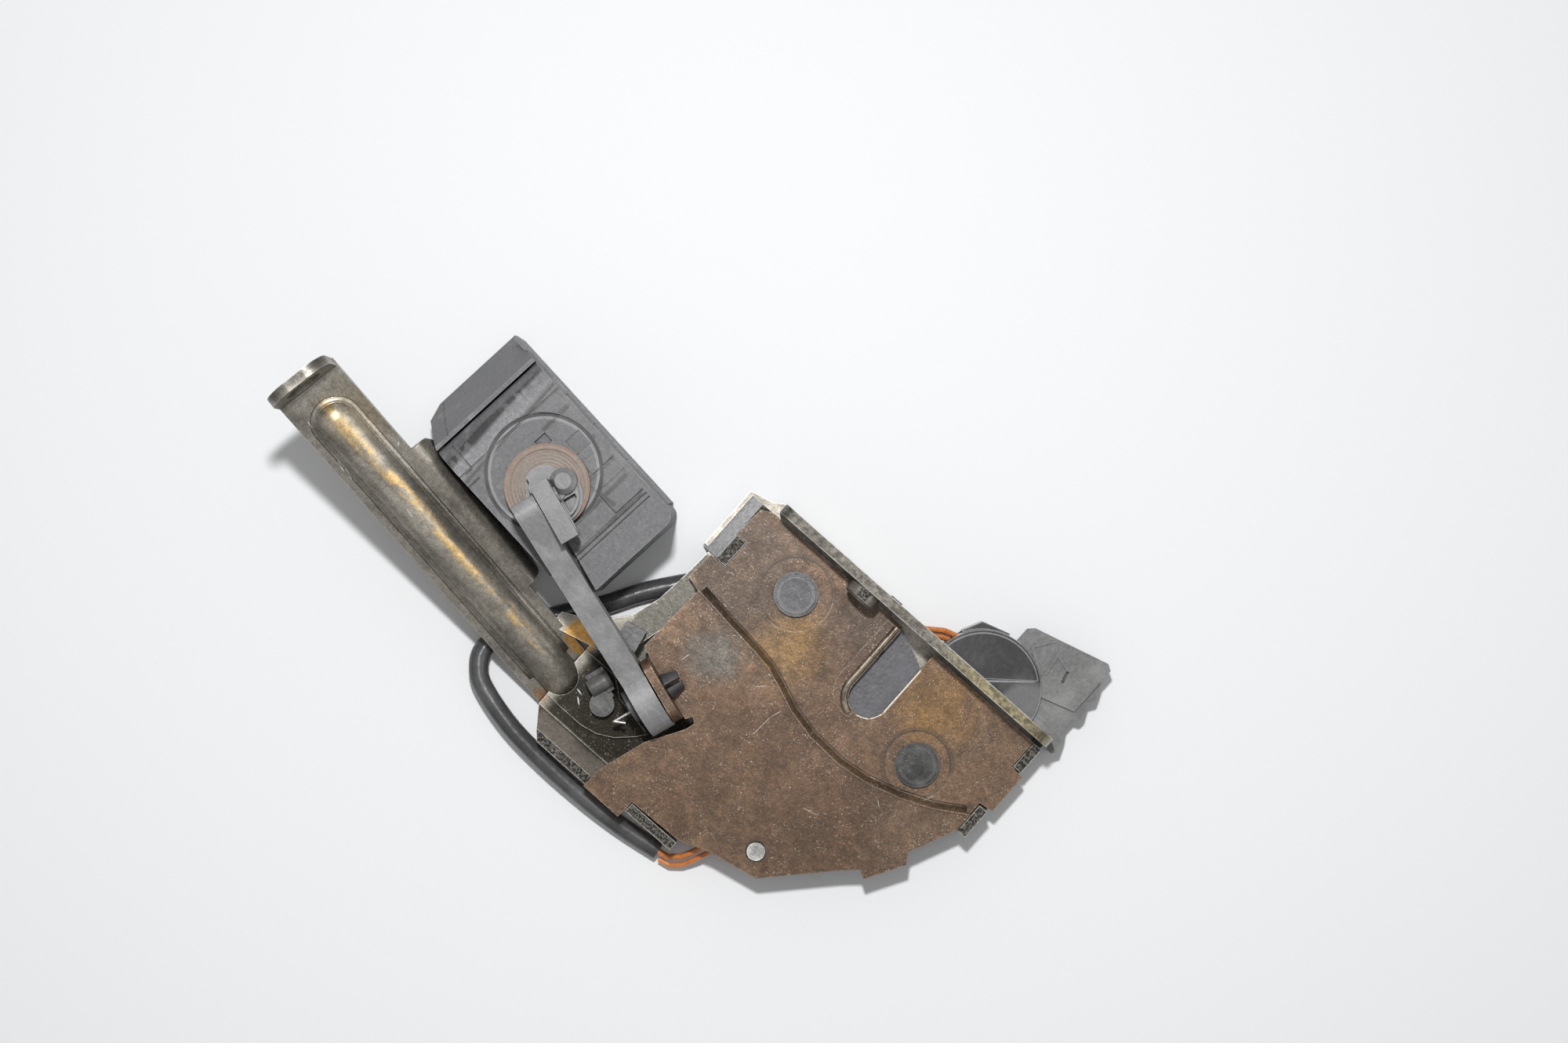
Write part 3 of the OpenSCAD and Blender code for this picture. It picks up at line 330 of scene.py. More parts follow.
def cover_metal(name="bronze sheet", darkest=0.30):
    m = Nodes(name)
    big = m.noise(34, 4, 0.6, distort=0.7)
    mid = m.noise(210, 6, 0.68)
    base = m.mix(m.ramp(big, 0.36, 0.64), (0.135, 0.087, 0.056), (0.168, 0.116, 0.080))
    base = m.mix(m.ramp(mid, 0.44, 0.68, 0.0, 0.7), base, (0.092, 0.053, 0.030))
    # Zones of the coating's tone, and the painted shade beside the flange
    for x, y, r, soft, amount, colour in COVER_TONE_AND_SHADE_ZONES:
        base = m.paint(base, colour, amount, m.spot(x, y, r, soft, 12, 90))
    # A rubbed, bare patch with fine lines
    rubbing = lines(m, 500, radians(-50), 0.25, 0.05)
    rubbed = m.mix(rubbing, (0.080, 0.090, 0.096), (0.130, 0.138, 0.142))
    base = m.paint(base, rubbed, 0.85, m.spot(-37, -41, 6.5, 3.5, 9, 240))
    # Painted shade on the side of the pressed step towards -y, and a painted highlight on its side towards
    # +y
    over = m.over_line(JOGGLE)
    base = m.paint(base, (0.070, 0.040, 0.022), 0.40, m.band(over, -3.2, -0.3, -0.2, 0.0))
    base = m.paint(base, (0.280, 0.235, 0.190), 0.3, m.band(over, 0.0, 0.2, 0.4, 1.8))
    veins = m.ramp(m.noise(70, 6, 0.7, distort=1.4), 0.42, 0.60, 0.80, 1.12)
    base = m.gain(mottled(m, base, 0.24), veins)
    base = m.tint(base, (0.74, 0.64, 0.53))
    base = flecks(m, base, (0.50, 0.43, 0.36), 0.6)
    scratches = strokes(m, [(-15.1, -40.3, -16.2, -43.6), (-16.2, -43.6, -16.6, -50), (28.5, -31, 27, -34),
                            (9.4, -54.2, 5, -55.4), (18.2, -41, 20.2, -42.6), (24.2, -41, 23.8, -42.2),
                            (-42.2, -45, -43, -48), (-22, -38, -24.5, -40.4)], 0.09)
    base = m.paint(base, (0.70, 0.66, 0.60), 0.5, scratches)
    slot_edge = strokes(m, [(4.8, -9, 4.8, -24), (4.8, -24, 3.1, -27.3), (3.1, -27.3, -0.4, -28.7)], 0.3)
    base = m.paint(base, (0.62, 0.56, 0.50), 0.7, slot_edge)
    # Worn edges, faint and uneven. Each recess gets painted shade, a dark rim with its worn edge held back,
    # but for its far side, whose wall faces the light
    edge = m.edges(0.5, 0.30)
    faint = m.blend(rubbing, 0.0883, 0.1366)
    for x, y, r in RECESSES:
        far_side = m.along(0.85, -0.53, -(0.85 * x - 0.53 * y))
        shaded_side = m.product(m.spot(x, y, r, 0.3), m.fall(far_side, 3.5, 6.0))
        edge = m.product(edge, m.without(m.product(shaded_side, 0.6)))
        # Painted shade: a dark rim on the shaded side of the recess
        rim = m.product(shaded_side, m.without(m.spot(x, y, r - 1.3, 0.2)))
        base = m.paint(base, (0.040, 0.026, 0.016), 0.55, rim)
    base = m.paint(base, (0.66, 0.62, 0.57), faint, edge)
    # Painted shade in gaps and corners
    base = m.painted_shade_in_gaps(base, darkest, 1.2)
    metal = m.ramp(edge, 0.0, 1.0, 0.42, 0.9)
    rough = m.ramp(mid, 0.35, 0.7, 0.36, 0.50)
    n = m.bump(mid, 0.20, 0.3)
    n = m.bump(m.noise(1500, 3, 0.6), 0.30, 0.12, n)
    return m.done(base, rough, metal, n)


def base_metal(name="coated sheet", worn=0.75):
    m = Nodes(name)
    x, y, z, up = m.x, m.y, m.z, m.up()
    big = m.noise(30, 5, 0.6, distort=0.5)
    mid = m.noise(190, 5, 0.62)
    base = m.mix(m.ramp(big, 0.36, 0.64), (0.225, 0.207, 0.177), (0.292, 0.270, 0.234))
    base = m.mix(m.ramp(mid, 0.48, 0.72, 0.0, 0.5), base, (0.135, 0.122, 0.098))
    # Along the arm, measured out from the case and across its middle
    far = m.along(-0.985, 0.174, -49.8)
    across = m.along(0.174, 0.985, 79.9)
    drawn_out = m.scaled(0.22, 1.0, 0.5, radians(10))
    drawn = m.ramp(m.noise(150, 4, 0.6, drawn_out, 0.3), 0.34, 0.66, 0.72, 1.30)
    base = m.shade(base, drawn, m.ramp(far, 0.0, 6.0))
    # A broken gold line along the bead, and a gold tinge on the end tab
    streak = m.ramp(m.noise(240, 4, 0.62, drawn_out, 0.5), 0.40, 0.56)
    off = m.math("ABSOLUTE", m.math("SUBTRACT", across, m.ramp(far, 55.0, 84.0, -0.6, -1.7)))
    gold = m.product(streak, m.fall(off, 0.8, 2.0), m.band(far, 4.0, 10.0, 86.0, 90.0))
    base = m.paint(base, (0.44, 0.30, 0.13), 0.85, gold)
    base = m.paint(base, (0.33, 0.26, 0.15), 0.35, m.spot(-142, -52.5, 8, 4, 7, 200))
    # A yellow patch and a spot of rust where the arm meets the case
    patch = m.product(m.spot(-66, -60.8, 4.2, 0.8, 3, 300), m.ramp(z, 0.0, 12.0, 1.0, 0.85))
    base = m.paint(base, (0.42, 0.215, 0.035), 0.92, patch)
    base = m.paint(base, (0.30, 0.16, 0.07), 0.7, m.spot(-64, -79, 1.8, 1.2, 2.5, 300))
    # Darker on the arch and deep in the case's floor
    low = m.fall(z, 8.6, 9.2)
    arch = m.product(m.ramp(x, -60.0, -58.5), m.band(y, -59.0, -56.0, -24.0, -22.5), low)
    base = m.paint(base, (0.070, 0.066, 0.056), 0.9, arch)
    deep = m.product(m.ramp(x, -63.0, -59.0), m.band(y, -81.5, -80.5, -60.0, -57.0), low)
    base = m.paint(base, (0.020, 0.017, 0.011), 0.95, deep)
    # The end tab is darker than the arm, and the bead is lighter with a painted highlight
    base = m.shade(base, 0.55, m.ramp(far, 92.5, 94.0))
    from_bead = m.math("ABSOLUTE", m.math("ADD", across, 1.0))
    base = m.shade(base, 1.50, m.fall(from_bead, 3.0, 5.2), m.band(far, 2.0, 10.0, 80.0, 88.0))
    # Sheared faces: dark and grainy
    sheared = m.product(m.ramp(up, 0.90, 0.97), m.ramp(z, 9.4, 9.7), m.ramp(x, -60.5, -59.5))
    flange_top = m.product(m.ramp(z, 20.5, 21.2), m.ramp(y, -3.2, -3.0))
    speckle = m.ramp(m.noise(1700, 3, 0.6), 0.42, 0.60)
    grain = m.mix(speckle, (0.016, 0.014, 0.011), (0.115, 0.108, 0.095))
    base = m.mix(m.product(sheared, m.without(flange_top)), base, grain)
    base = m.paint(base, (0.36, 0.30, 0.15), 0.6, m.ramp(x, 0.0, 16.0), flange_top)
    pits = m.ramp(m.noise(620, 5, 0.7), 0.36, 0.60, 0.38, 0.85)
    base = m.shade(base, pits, flange_top)
    # A paler slope along the bottom edge, and the dark well beside it
    slope = m.product(m.fall(y, -82.0, -81.2), m.ramp(x, -62.0, -60.0), m.fall(up, 0.86, 0.92))
    base = m.paint(base, (0.72, 0.64, 0.56), 0.95, slope)
    well = m.product(m.spot(-46, -73, 9, 2.5, 4, 160), 0.92)
    base = m.mix(well, base, (0.022, 0.018, 0.012))
    # A painted sheen, pale grey, on the leaning wall at the upper left, which faces the light
    wall_sheen = m.product(m.band(x, -62.0, -61.5, -51.2, -50.8), m.ramp(y, -23.6, -23.0), m.fall(up, 0.80, 0.92))
    base = m.paint(base, (0.60, 0.60, 0.605), 0.9, wall_sheen)
    base = mottled(m, base, 0.18)
    base = flecks(m, base, (0.50, 0.48, 0.44), 0.45)
    scratches = strokes(m, [(-149.6, -62.4, -147.6, -63), (-138.5, -65.2, -135.6, -66.4),
                            (-136, -65.6, -133, -66.6), (-56.6, -73, -54.6, -74.6), (-58, -71.6, -56, -72),
                            (-130.8, -51.8, -130, -53.2), (-118.6, -63.4, -116, -64)], 0.2)
    base = m.paint(base, (0.80, 0.80, 0.78), 0.8, scratches)
    edge = m.product(m.edges(0.35, 0.40), m.without(m.product(wall_sheen, 0.9)))
    base = m.paint(base, (0.64, 0.62, 0.58), worn, edge)
    # Painted shade in gaps and corners
    base = m.painted_shade_in_gaps(base, 0.30, 1.6)
    metal = m.ramp(edge, 0.0, 1.0, 0.72, 0.9)
    matt = m.largest(sheared, wall_sheen, deep, well)
    rough = m.blend(matt, m.ramp(mid, 0.35, 0.72, 0.33, 0.44), 0.66)
    n = m.bump(mid, 0.16, 0.3)
    n = m.bump(m.noise(1500, 3, 0.6), 0.22, 0.1, n)
    return m.done(base, rough, metal, n)


def steel(name, dark, light, r0, r1, metal=0.9):
    """Metal between two colours, with flecks and worn edges; r0 and r1 are its roughness."""
    m = Nodes(name)
    a = m.noise(220, 5, 0.62, distort=0.3)
    base = m.mix(m.ramp(a, 0.38, 0.64), dark, light)
    base = mottled(m, base, 0.12)
    base = flecks(m, base, lighter(light, 3.0), 0.6, 2200, 420)
    base = m.paint(base, lighter(light, 2.4), 0.8, m.edges(0.3, 0.44))
    n = m.bump(m.noise(1100, 3, 0.6), 0.22, 0.12)
    return m.done(base, m.ramp(a, 0.35, 0.7, r0, r1), metal, n)


def plastic(name, dark, light, r0, r1, grain=900, depth=0.08, dust=0.0, scratch=0.15):
    """Grained plastic between two colours; r0 and r1 are its roughness."""
    m = Nodes(name)
    a = m.noise(90, 5, 0.6, distort=0.4)
    base = m.mix(m.ramp(a, 0.36, 0.66), dark, light)
    base = mottled(m, base, 0.10)
    if scratch:
        s = m.largest(lines(m, 620, 0.9, 0.08, 0.02), lines(m, 560, -0.35, 0.09, 0.02))
        base = m.paint(base, lighter(light, 2.2, 0.05), scratch, s, m.ramp(m.noise(90, 2), 0.54, 0.68))
    base = m.paint(base, lighter(light, 1.8, 0.03), 0.4, m.edges(0.3, 0.48))
    if dust:
        specks = m.ramp(m.noise(420, 5, 0.7), 0.5, 0.74)
        base = m.paint(base, (0.36, 0.34, 0.31), dust, specks, m.ramp(m.up(), 0.3, 0.9))
    # Painted shade in gaps and corners
    base = m.painted_shade_in_gaps(base, 0.40, 1.2)
    n = m.bump(m.cells(grain), 0.5, depth)
    n = m.bump(m.noise(1400, 2), 0.15, 0.06, n)
    return m.done(base, m.ramp(a, 0.35, 0.7, r0, r1), 0.0, n, 0.45)


def actuator_plastic():
    m = Nodes("actuator plastic")
    a = m.noise(60, 4, 0.6, distort=0.3)
    base = m.mix(m.ramp(a, 0.35, 0.68), (0.100, 0.0995, 0.104), (0.132, 0.131, 0.137))
    dust = m.ramp(m.noise(330, 6, 0.72, distort=0.4), 0.52, 0.72)
    base = m.paint(base, (0.32, 0.31, 0.295), 0.25, dust, m.ramp(m.up(), 0.4, 0.95))
    base = mottled(m, base, 0.16, 900, 2600)
    # Rolled shoulder on the left: painted shade at its foot, a painted highlight on its back, and painted
    # shade in the groove beside it
    on_top = m.ramp(m.z, 32.5, 33.2)
    for limits, factor in [((-119.2, -118.4, -117.2, -116.2), 0.42),
                           ((-117.0, -115.8, -113.2, -112.2), 1.70),
                           ((-112.4, -112.0, -111.6, -111.2), 0.40)]:
        base = m.shade(base, factor, m.band(m.x, *limits), on_top)
    # Shade between the raised panels
    panel = strokes(m, [(-83.4, -20.6, -85.2, -44), (-88.6, -19.6, -89.4, -28.4), (-87, -29, -80, -28.4),
                        (-105.6, -17.2, -106.2, -27), (-77.6, -21.4, -79.6, -44),
                        (-95.6, -18.6, -96.4, -21)], 0.8)
    base = m.shade(base, 0.40, panel)
    # Parting lines of the housing
    seam = strokes(m, [(-133, -39.2, -126, -42.4), (-126, -42.4, -123, -43.4), (-121, -44.3, -113, -45),
                       (-113, -45, -113.2, -47.8), (-110.2, -45.6, -110.6, -50)], 0.3)
    base = m.paint(base, (0.035, 0.035, 0.037), 0.8, seam)
    # Painted shade in the groove round the boss, and a lighter ring at its inner edge
    d = m.from_point(*BOSS)
    base = m.paint(base, (0.022, 0.022, 0.024), 0.9, m.band(d, 13.7, 14.0, 14.7, 15.1), on_top)
    base = m.paint(base, (0.42, 0.42, 0.43), 0.35, m.band(d, 13.0, 13.3, 13.7, 14.0), on_top)
    rub = m.product(lines(m, 620, 0.6, 0.08, 0.02), m.ramp(m.noise(80, 2), 0.56, 0.68))
    base = m.paint(base, (0.45, 0.45, 0.45), 0.2, rub)
    base = m.paint(base, (0.38, 0.38, 0.385), 0.4, m.edges(0.35, 0.46))
    # Painted shade in gaps and corners
    base = m.painted_shade_in_gaps(base, 0.15, 1.0)
    n = m.bump(seam, 0.6, -0.3)
    n = m.bump(m.noise(2200, 3, 0.7), 0.40, 0.10, n)
    return m.done(base, m.ramp(a, 0.35, 0.7, 0.46, 0.60), 0.0, n)


def disc_material():
    m = Nodes("tan disc")
    a = m.noise(200, 5, 0.65, distort=0.4)
    base = m.mix(m.ramp(a, 0.36, 0.66), (0.228, 0.184, 0.152), (0.276, 0.232, 0.200))
    d = m.from_point(*DISC)
    ridges = m.math("SINE", m.product(d, 2 * math.pi / DISC_RIDGE))
    base = m.paint(base, (0.30, 0.175, 0.115), 0.35, m.ramp(d, 8.2, 9.0), m.ramp(ridges, -0.2, 0.9))
    patches = m.ramp(m.noise(500, 3), 0.40, 0.60)
    base = m.paint(base, (0.30, 0.140, 0.080), 0.6, m.ramp(d, 9.9, 10.3), patches)
    base = mottled(m, base, 0.08)
    n = m.bump(ridges, 0.25, 0.1)
    n = m.bump(m.noise(900, 3), 0.25, 0.1, n)
    return m.done(base, m.ramp(a, 0.35, 0.7, 0.45, 0.62), 0.0, n, 0.35)


def lever_material(name="grey lever plastic", dark=(0.225, 0.224, 0.227), light=(0.300, 0.299, 0.303)):
    m = Nodes(name)
    a = m.noise(120, 5, 0.62, distort=0.4)
    base = m.mix(m.ramp(a, 0.36, 0.66), dark, light)
    v = m.scaled(0.12, 1.0, 0.5, radians(-18.5))
    base = m.paint(base, lighter(light, 1.35), 0.25, m.ramp(m.noise(700, 2, 0.6, v), 0.55, 0.70))
    base = mottled(m, base, 0.08)
    base = m.paint(base, lighter(light, 1.9), 0.5, m.edges(0.3, 0.46))
    base = m.paint(base, (0.14, 0.125, 0.11), 0.35, m.ramp(m.noise(380, 4, 0.7), 0.60, 0.76))
    # Painted shade in gaps and corners
    base = m.painted_shade_in_gaps(base, 0.35, 1.4)
    n = m.bump(m.noise(1500, 3), 0.3, 0.1)
    return m.done(base, m.ramp(a, 0.35, 0.7, 0.36, 0.50), 0.0, n, 0.45)


def gloss_black():
    m = Nodes("gloss black")
    a = m.noise(140, 4, 0.6, distort=0.3)
    base = m.mix(m.ramp(a, 0.36, 0.66), (0.030, 0.030, 0.032), (0.050, 0.050, 0.053))
    matt = m.product(m.spot(31.5, 1.5, 6.5, 1.5, 3, 200), 0.7)
    base = m.mix(matt, base, (0.150, 0.150, 0.154))
    # A painted highlight along the ridge of the cap
    base = m.paint(base, (0.40, 0.40, 0.41), 0.8, strokes(m, [(18.8, -0.6, 29.2, 8.4)], 0.3))
    base = mottled(m, base, 0.10)
    # Painted highlights along the cap's edges
    base = m.paint(base, (0.42, 0.42, 0.43), 0.8, m.edges(0.5, 0.34))
    n = m.bump(m.noise(300, 3, 0.6), 0.15, 0.2)
    return m.done(base, m.blend(matt, m.ramp(a, 0.4, 0.7, 0.14, 0.26), 0.5), 0.0, n)


MATS = {
    "cover_plate": cover_metal(),
    "base_plate": base_metal(),
    "cove": cover_metal("pressed step", 0.75),
    "foot": base_metal("bead foot", 0.0),
    "rim": steel("drawn rim", (0.085, 0.062, 0.044), (0.20, 0.165, 0.13), 0.24, 0.40, 0.6),
    "pawl rivet": steel("pawl rivet steel", (0.043, 0.043, 0.045), (0.070, 0.070, 0.072), 0.30, 0.46, 0.7),
    "fork rivet": steel("fork rivet steel", (0.036, 0.035, 0.034), (0.060, 0.059, 0.058), 0.30, 0.46, 0.7),
    "cover rivet": steel("cover rivet steel", (0.27, 0.26, 0.25), (0.40, 0.39, 0.37), 0.26, 0.42),
    "bright": steel("bright steel", (0.52, 0.50, 0.48), (0.66, 0.64, 0.61), 0.26, 0.42),
    "latch": steel("latch steel", (0.20, 0.185, 0.165), (0.30, 0.28, 0.25), 0.26, 0.42),
    "spring": steel("spring wire", (0.26, 0.26, 0.255), (0.36, 0.355, 0.345), 0.26, 0.40),
    "jacket": plastic("fork jacket", (0.080, 0.080, 0.089), (0.102, 0.102, 0.114), 0.38, 0.55, dust=0.2),
    "lever": lever_material(),
    "hook": lever_material("hook plastic", (0.155, 0.154, 0.154), (0.235, 0.233, 0.232)),
    "black": plastic("black plastic", (0.040, 0.040, 0.042), (0.065, 0.065, 0.068), 0.34, 0.52),
    "stop": plastic("stop plastic", (0.120, 0.120, 0.123), (0.160, 0.160, 0.164), 0.34, 0.52),
    "guide": plastic("guide plastic", (0.075, 0.074, 0.073), (0.120, 0.118, 0.115), 0.20, 0.32),
    "actuator": actuator_plastic(),
    "disc": disc_material(),
    "gear": plastic("acetal", (0.60, 0.57, 0.47), (0.70, 0.67, 0.58), 0.4, 0.55, scratch=0.0),
    "sleeve": plastic("black sleeve", (0.050, 0.050, 0.052), (0.072, 0.072, 0.075), 0.24, 0.36,
                      grain=500, depth=0.10),
    "wire": plastic("orange wire", (0.52, 0.17, 0.045), (0.68, 0.27, 0.09), 0.25, 0.4, scratch=0.0),
    "gloss": gloss_black(),
    "housing": plastic("housing", (0.135, 0.135, 0.134), (0.180, 0.180, 0.178), 0.36, 0.52, dust=0.2),
    "brass": steel("brass", (0.40, 0.30, 0.13), (0.60, 0.48, 0.24), 0.25, 0.4),
    "red": plastic("red button", (0.35, 0.05, 0.03), (0.45, 0.08, 0.05), 0.35, 0.5),
}
USES = {
    "cover_plate": "cover_plate", "base_plate": "base_plate", "fork_rivet": "fork rivet",
    "pawl_rivet": "pawl rivet", "cover_rivet": "cover rivet", "fork": "latch", "fork_jacket": "jacket",
    "fork_spring": "spring", "pawl": "latch", "pawl_spring": "spring", "crank_lever": "lever",
    "lever_pin": "black", "lever_spring": "spring", "lever_stop": "stop", "release_guide": "guide",
    "hook_plunger": "hook", "plunger_disc": "disc", "actuator_body": "actuator",
    "actuator_cover": "actuator", "actuator_motor": "bright", "motor_pinion": "gear",
    "drive_gear": "gear", "gear_axle": "bright", "actuator_screws": "bright",
    "latch_switch": "black", "switch_button": "red", "cable_sleeve": "sleeve",
    "switch_wires": "wire", "connector_wires": "wire", "wiring_cap": "gloss",
    "connector_housing": "housing", "connector_terminals": "brass",
}
for name, key in USES.items():
    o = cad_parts[name]
    o.data.materials.clear()
    o.data.materials.append(MATS[key])

# Small rounded edges on the CAD pieces catch the light: their width in mm
SOFT = {
    "base_plate": 0.35, "cover_plate": 0.3, "fork_rivet": 0.4, "pawl_rivet": 0.4, "cover_rivet": 0.25,
    "fork_jacket": 0.4, "crank_lever": 0.45, "lever_pin": 0.35, "lever_stop": 0.5, "release_guide": 0.5,
    "hook_plunger": 0.4, "plunger_disc": 0.35, "actuator_body": 0.6, "actuator_cover": 0.6,
    "actuator_screws": 0.25, "latch_switch": 0.4, "wiring_cap": 0.5, "connector_housing": 0.4,
    "fork": 0.25,
}
for name, width in SOFT.items():
    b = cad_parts[name].modifiers.new("edge", "BEVEL")
    b.width = width * MM
    b.segments = 3
    b.limit_method = "ANGLE"
    b.angle_limit = radians(32)


def closed_strip(name, rows, mat, smooth_above):
    """A closed bar through rows of points in metres; its faces that look up are smooth."""
    bm = bmesh.new()
    made = [[bm.verts.new(v) for v in row] for row in rows]
    n = len(made[0])
    for a, b in zip(made, made[1:]):
        for k in range(n):
            bm.faces.new((a[k], a[(k + 1) % n], b[(k + 1) % n], b[k]))
    bm.faces.new(made[0][::-1])
    bm.faces.new(made[-1])
    bmesh.ops.recalc_face_normals(bm, faces=bm.faces)
    me = bpy.data.meshes.new(name)
    bm.to_mesh(me)
    bm.free()
    for f in me.polygons:
        f.use_smooth = len(f.vertices) == 4 and f.normal.z > smooth_above
    me.materials.append(mat)
    o = bpy.data.objects.new(name, me)
    scene.collection.objects.link(o)
    return o


def smooth_line(points):
    """A Catmull-Rom line through points in mm, as points in metres."""
    per = 6
    p = [Vector(q) * MM for q in points]
    out = []
    for i in range(len(p) - 1):
        a, b, c, d = p[max(i - 1, 0)], p[i], p[i + 1], p[min(i + 2, len(p) - 1)]
        for k in range(per):
            t = k / per
            out.append(0.5 * (2 * b + (c - a) * t + (2 * a - 5 * b + 4 * c - d) * t * t
                              + (3 * b - a - 3 * c + d) * t * t * t))
    out.append(p[-1])
    return out


def tube(name, points, r, mat):
    """A round tube along a smooth line, with the line and its length in metres."""
    line = smooth_line(points)
    cu = bpy.data.curves.new(name, "CURVE")
    cu.dimensions = "3D"
    cu.bevel_depth = r * MM
    cu.bevel_resolution = 5
    cu.use_fill_caps = True
    sp = cu.splines.new("POLY")
    sp.points.add(len(line) - 1)
    for q, v in zip(sp.points, line):
        q.co = (*v, 1.0)
    o = bpy.data.objects.new(name, cu)
    scene.collection.objects.link(o)
    cu.materials.append(mat)
    length = sum((b - a).length for a, b in zip(line, line[1:]))
    return o, length, line


# The bead's foot flows into the arm with a small radius; in mm, along the arm's own axes
BEAD_R, BEAD_Y, BEAD_START, BEAD_END = 6.0, 2.2, 6.0, 93.0
BEAD_STEPS = 24
SHEET, FOOT_R, FOOT_STEPS, FOOT_LIFT = 2.5, 1.8, 6, 0.02
ARM = (Matrix.Translation((-63, -70, 0)) @ Matrix.Rotation(radians(170), 4, "Z")
       @ Matrix.Rotation(radians(-26), 4, "Y"))


def bead_foot():
    """Rows of points of the fillet, up one side of the bead, round its end and back."""
    cy = math.sqrt((BEAD_R + FOOT_R) ** 2 - (SHEET + FOOT_R) ** 2)
    cz = SHEET + FOOT_R
    from_a = math.atan2(cz, cy)
    profile = []
    for k in range(FOOT_STEPS + 1):
        a = math.pi + from_a + (0.5 * math.pi - from_a) * k / FOOT_STEPS
        profile.append((cy + FOOT_R * math.cos(a), cz + FOOT_LIFT + FOOT_R * math.sin(a)))
    profile.append((profile[0][0], SHEET))
    step = (BEAD_END - BEAD_START) / BEAD_STEPS
    turns = [(BEAD_START + step * k, 90) for k in range(BEAD_STEPS + 1)]
    turns += [(BEAD_END, 90 - 180 * k / BEAD_STEPS) for k in range(1, BEAD_STEPS)]
    turns += [(BEAD_END - step * k, -90) for k in range(BEAD_STEPS + 1)]
    rows = []
    for x, turn in turns:
        c, s = math.cos(radians(turn)), math.sin(radians(turn))
        rows.append([(ARM @ Vector((x + r * c, BEAD_Y + r * s, z))) * MM for r, z in profile])
    return rows


# The pressed step across the cover is a smooth cove
HIGH_Z, LOW_Z, COVE_LIFT = 13.6, 12.0, 0.015
COVE_W, COVE_BACK, COVE_STEPS = 2.4, 0.5, 10


def cove():
    """Rows of points that fall in an S from the raised sheet to the lower one."""
    path = [Vector(p) for p in JOGGLE]
    rows = []
    for i, p in enumerate(path):
        d = (path[min(i + 1, len(path) - 1)] - path[max(i - 1, 0)]).normalized()
        out = Vector((-d.y, d.x))
        row = []
        for k in range(COVE_STEPS + 1):
            t = k / COVE_STEPS
            q = p + out * (COVE_W * t - COVE_BACK)
            z = HIGH_Z + COVE_LIFT - (HIGH_Z - LOW_Z) * (3 * t * t - 2 * t * t * t)
            row.append((q.x * MM, q.y * MM, z * MM))
        foot = p + out * -COVE_BACK
        row.append((foot.x * MM, foot.y * MM, (LOW_Z + COVE_LIFT) * MM))
        rows.append(row)
    return rows


# The drawn rim round the slot's left side and bottom, rounded over
SLOT_X, SLOT_R, SLOT_BOTTOM = -0.6, 5.2, -28.4
RIM_R, RIM_OUT, RIM_Z = 1.1, 1.15, 12.4
RIM_TURN, RIM_STEPS = radians(76.0), 8


def rim_line():
    """Points just outside the slot, from the flange down and round the bottom."""
    r = SLOT_R + RIM_OUT
    cy = SLOT_BOTTOM + SLOT_R
    line = [(SLOT_X - r, y, RIM_Z) for y in (-5.0, -10.0, -15.0, -20.0)]
    for k in range(RIM_STEPS + 1):
        a = math.pi + RIM_TURN * k / RIM_STEPS
        line.append((SLOT_X + r * math.cos(a), cy + r * math.sin(a), RIM_Z))
    return line


# The cable's sleeve, along the same route as the model
SLEEVE_R = 2.55
SLEEVE = [(-52, -29, 1), (-56.5, -34.5, 1), (-62, -42, 1), (-67.2, -50.8, 1), (-73.2, -59, 1.2),
          (-78.4, -67.4, 1.8), (-82.2, -75, 2.8), (-83, -80, 3.4), (-81, -84, 3.8), (-76.5, -87.2, 4),
          (-65, -90.2, 4), (-52, -91.4, 3.4), (-38, -91.6, 2.4), (-26, -91, 1.4), (-14.5, -89.4, 0.8)]

foot = closed_strip("bead_foot", bead_foot(), MATS["foot"], 0.2)
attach(foot, "lock_case")

step = closed_strip("joggle_cove", cove(), MATS["cove"], 0.3)
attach(step, "lock_case")

rim = tube("slot_rim", rim_line(), RIM_R, MATS["rim"])[0]
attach(rim, "lock_case")

sleeve, length, line = tube("sleeve_tube", SLEEVE, SLEEVE_R, MATS["sleeve"])
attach(sleeve, "lock_case")
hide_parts("cable_sleeve")

# A sheet of paper, darker under the key lamp so that it renders evenly bright
FLOOR_SIZE = 6.0
FLOOR_Z = -2.05 * MM
floor_mat = Nodes("floor")
paper = floor_mat.mix(floor_mat.spot(-158, 100, 330, 330), (0.97, 0.98, 0.99), (0.81, 0.82, 0.83))
floor_mat.done(paper, 0.55, 0.0, floor_mat.bump(floor_mat.noise(30, 3), 0.02, 0.5), 0.3)
bpy.ops.mesh.primitive_plane_add(size=FLOOR_SIZE, location=(0, 0, FLOOR_Z))
floor = bpy.context.object
floor.name = "floor"
floor.data.materials.append(floor_mat.mat)


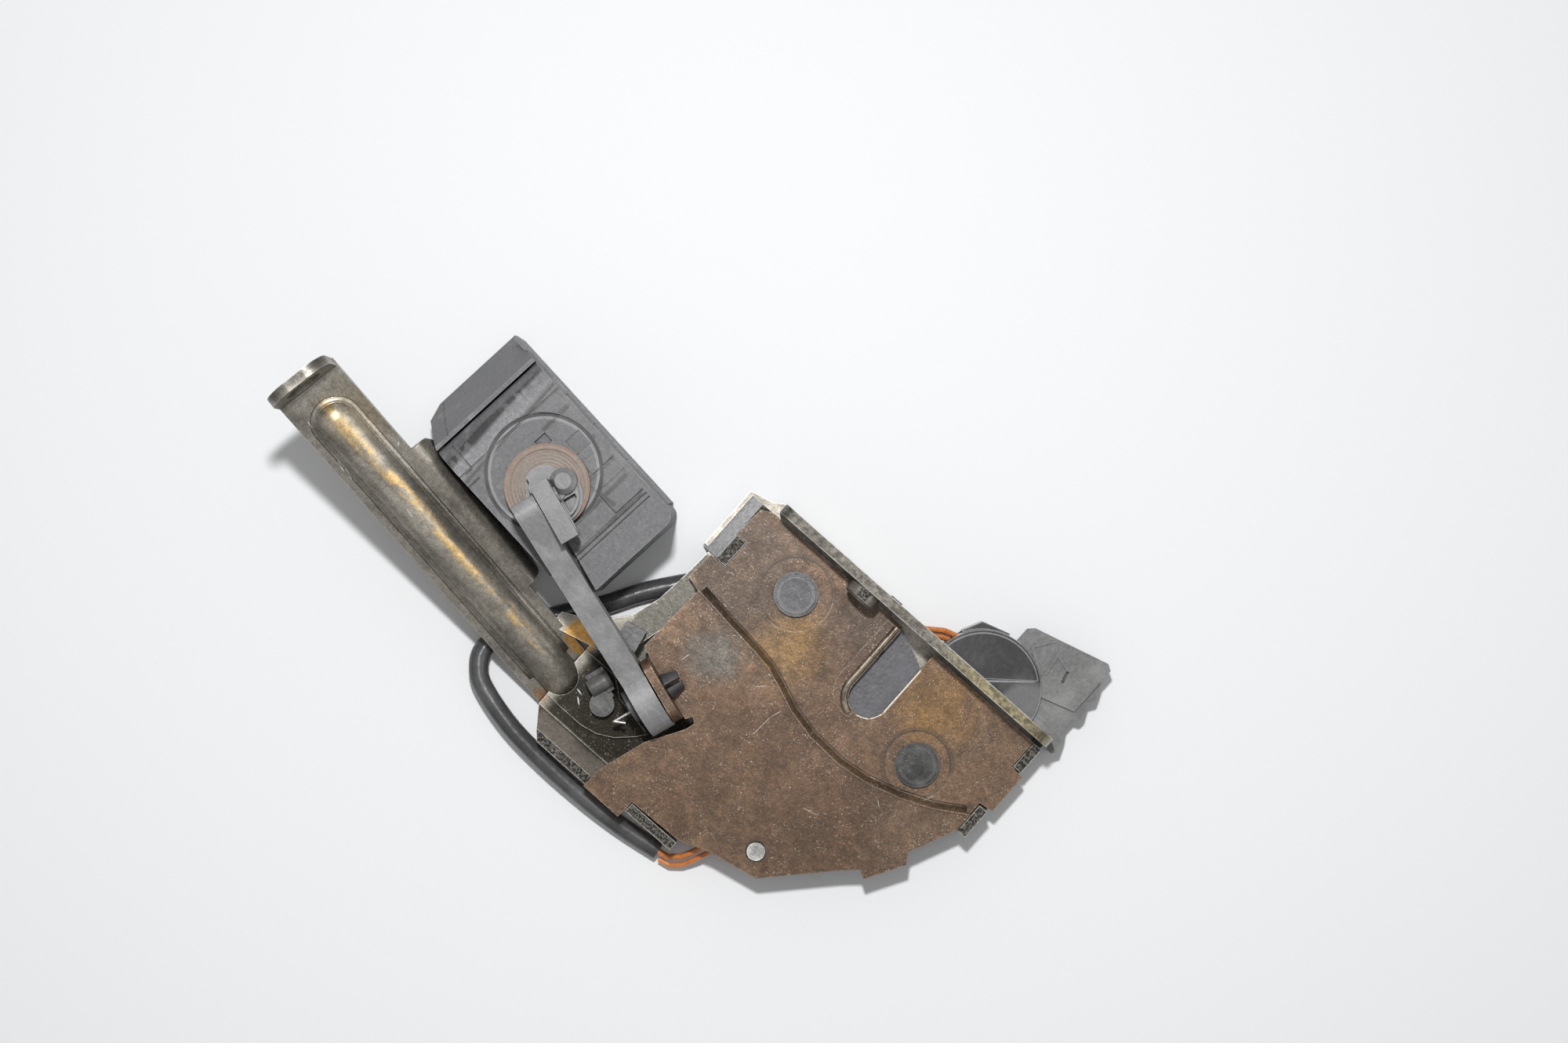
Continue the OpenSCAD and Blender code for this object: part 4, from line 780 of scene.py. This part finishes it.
def lamp(name, place, size, power, target=(-0.05, -0.04, 0.0)):
    """A rectangular lamp aimed at the target, in metres and watts."""
    d = bpy.data.lights.new(name, "AREA")
    d.shape = "RECTANGLE"
    d.size, d.size_y = size
    d.energy = power
    o = bpy.data.objects.new(name, d)
    o.location = place
    aim = Vector(target) - Vector(place)
    o.rotation_euler = aim.to_track_quat("-Z", "Y").to_euler()
    scene.collection.objects.link(o)
    return o


lamp("key", (-0.158, 0.10, 0.64), (0.035, 0.035), 3.25)
lamp("front", (-0.06, 0.0, 1.05), (0.3, 0.3), 0.5)

# A white card beside the object, seen only in its reflections
card = lamp("card", (0.53, 0.34, 0.47), (0.5, 0.6), 2.3, (-0.10, -0.06, 0.02))
card.visible_diffuse = False

# The camera sees a white backdrop; reflections see a bright ceiling and dark walls
AMBIENT, STUDIO, WALLS, BACKDROP = 0.31, 0.62, 0.10, 0.92
CEILING_AT = 0.70
world = bpy.data.worlds.new("world")
scene.world = world
world.use_nodes = True
sky = world.node_tree
bg = next(n for n in sky.nodes if n.type == "BACKGROUND")
bg.inputs["Color"].default_value = (1, 1, 1, 1)


def mapped(value, lo, hi):
    """A Map Range node from 0..1 to lo..hi."""
    n = sky.nodes.new("ShaderNodeMapRange")
    for socket, v in (("Value", value), ("To Min", lo), ("To Max", hi)):
        if hasattr(v, "is_output"):
            sky.links.new(v, n.inputs[socket])
        else:
            n.inputs[socket].default_value = v
    return n


rays = sky.nodes.new("ShaderNodeLightPath")
height = sky.nodes.new("ShaderNodeSeparateXYZ")
sky.links.new(sky.nodes.new("ShaderNodeTexCoord").outputs["Generated"], height.inputs[0])
ceiling = mapped(height.outputs[2], WALLS, STUDIO)
ceiling.interpolation_type = "SMOOTHSTEP"
ceiling.inputs["From Max"].default_value = CEILING_AT
glossy = mapped(rays.outputs["Is Glossy Ray"], AMBIENT, ceiling.outputs["Result"])
level = mapped(rays.outputs["Is Camera Ray"], glossy.outputs["Result"], BACKDROP)
sky.links.new(level.outputs["Result"], bg.inputs["Strength"])

scene.view_settings.view_transform = "Standard"
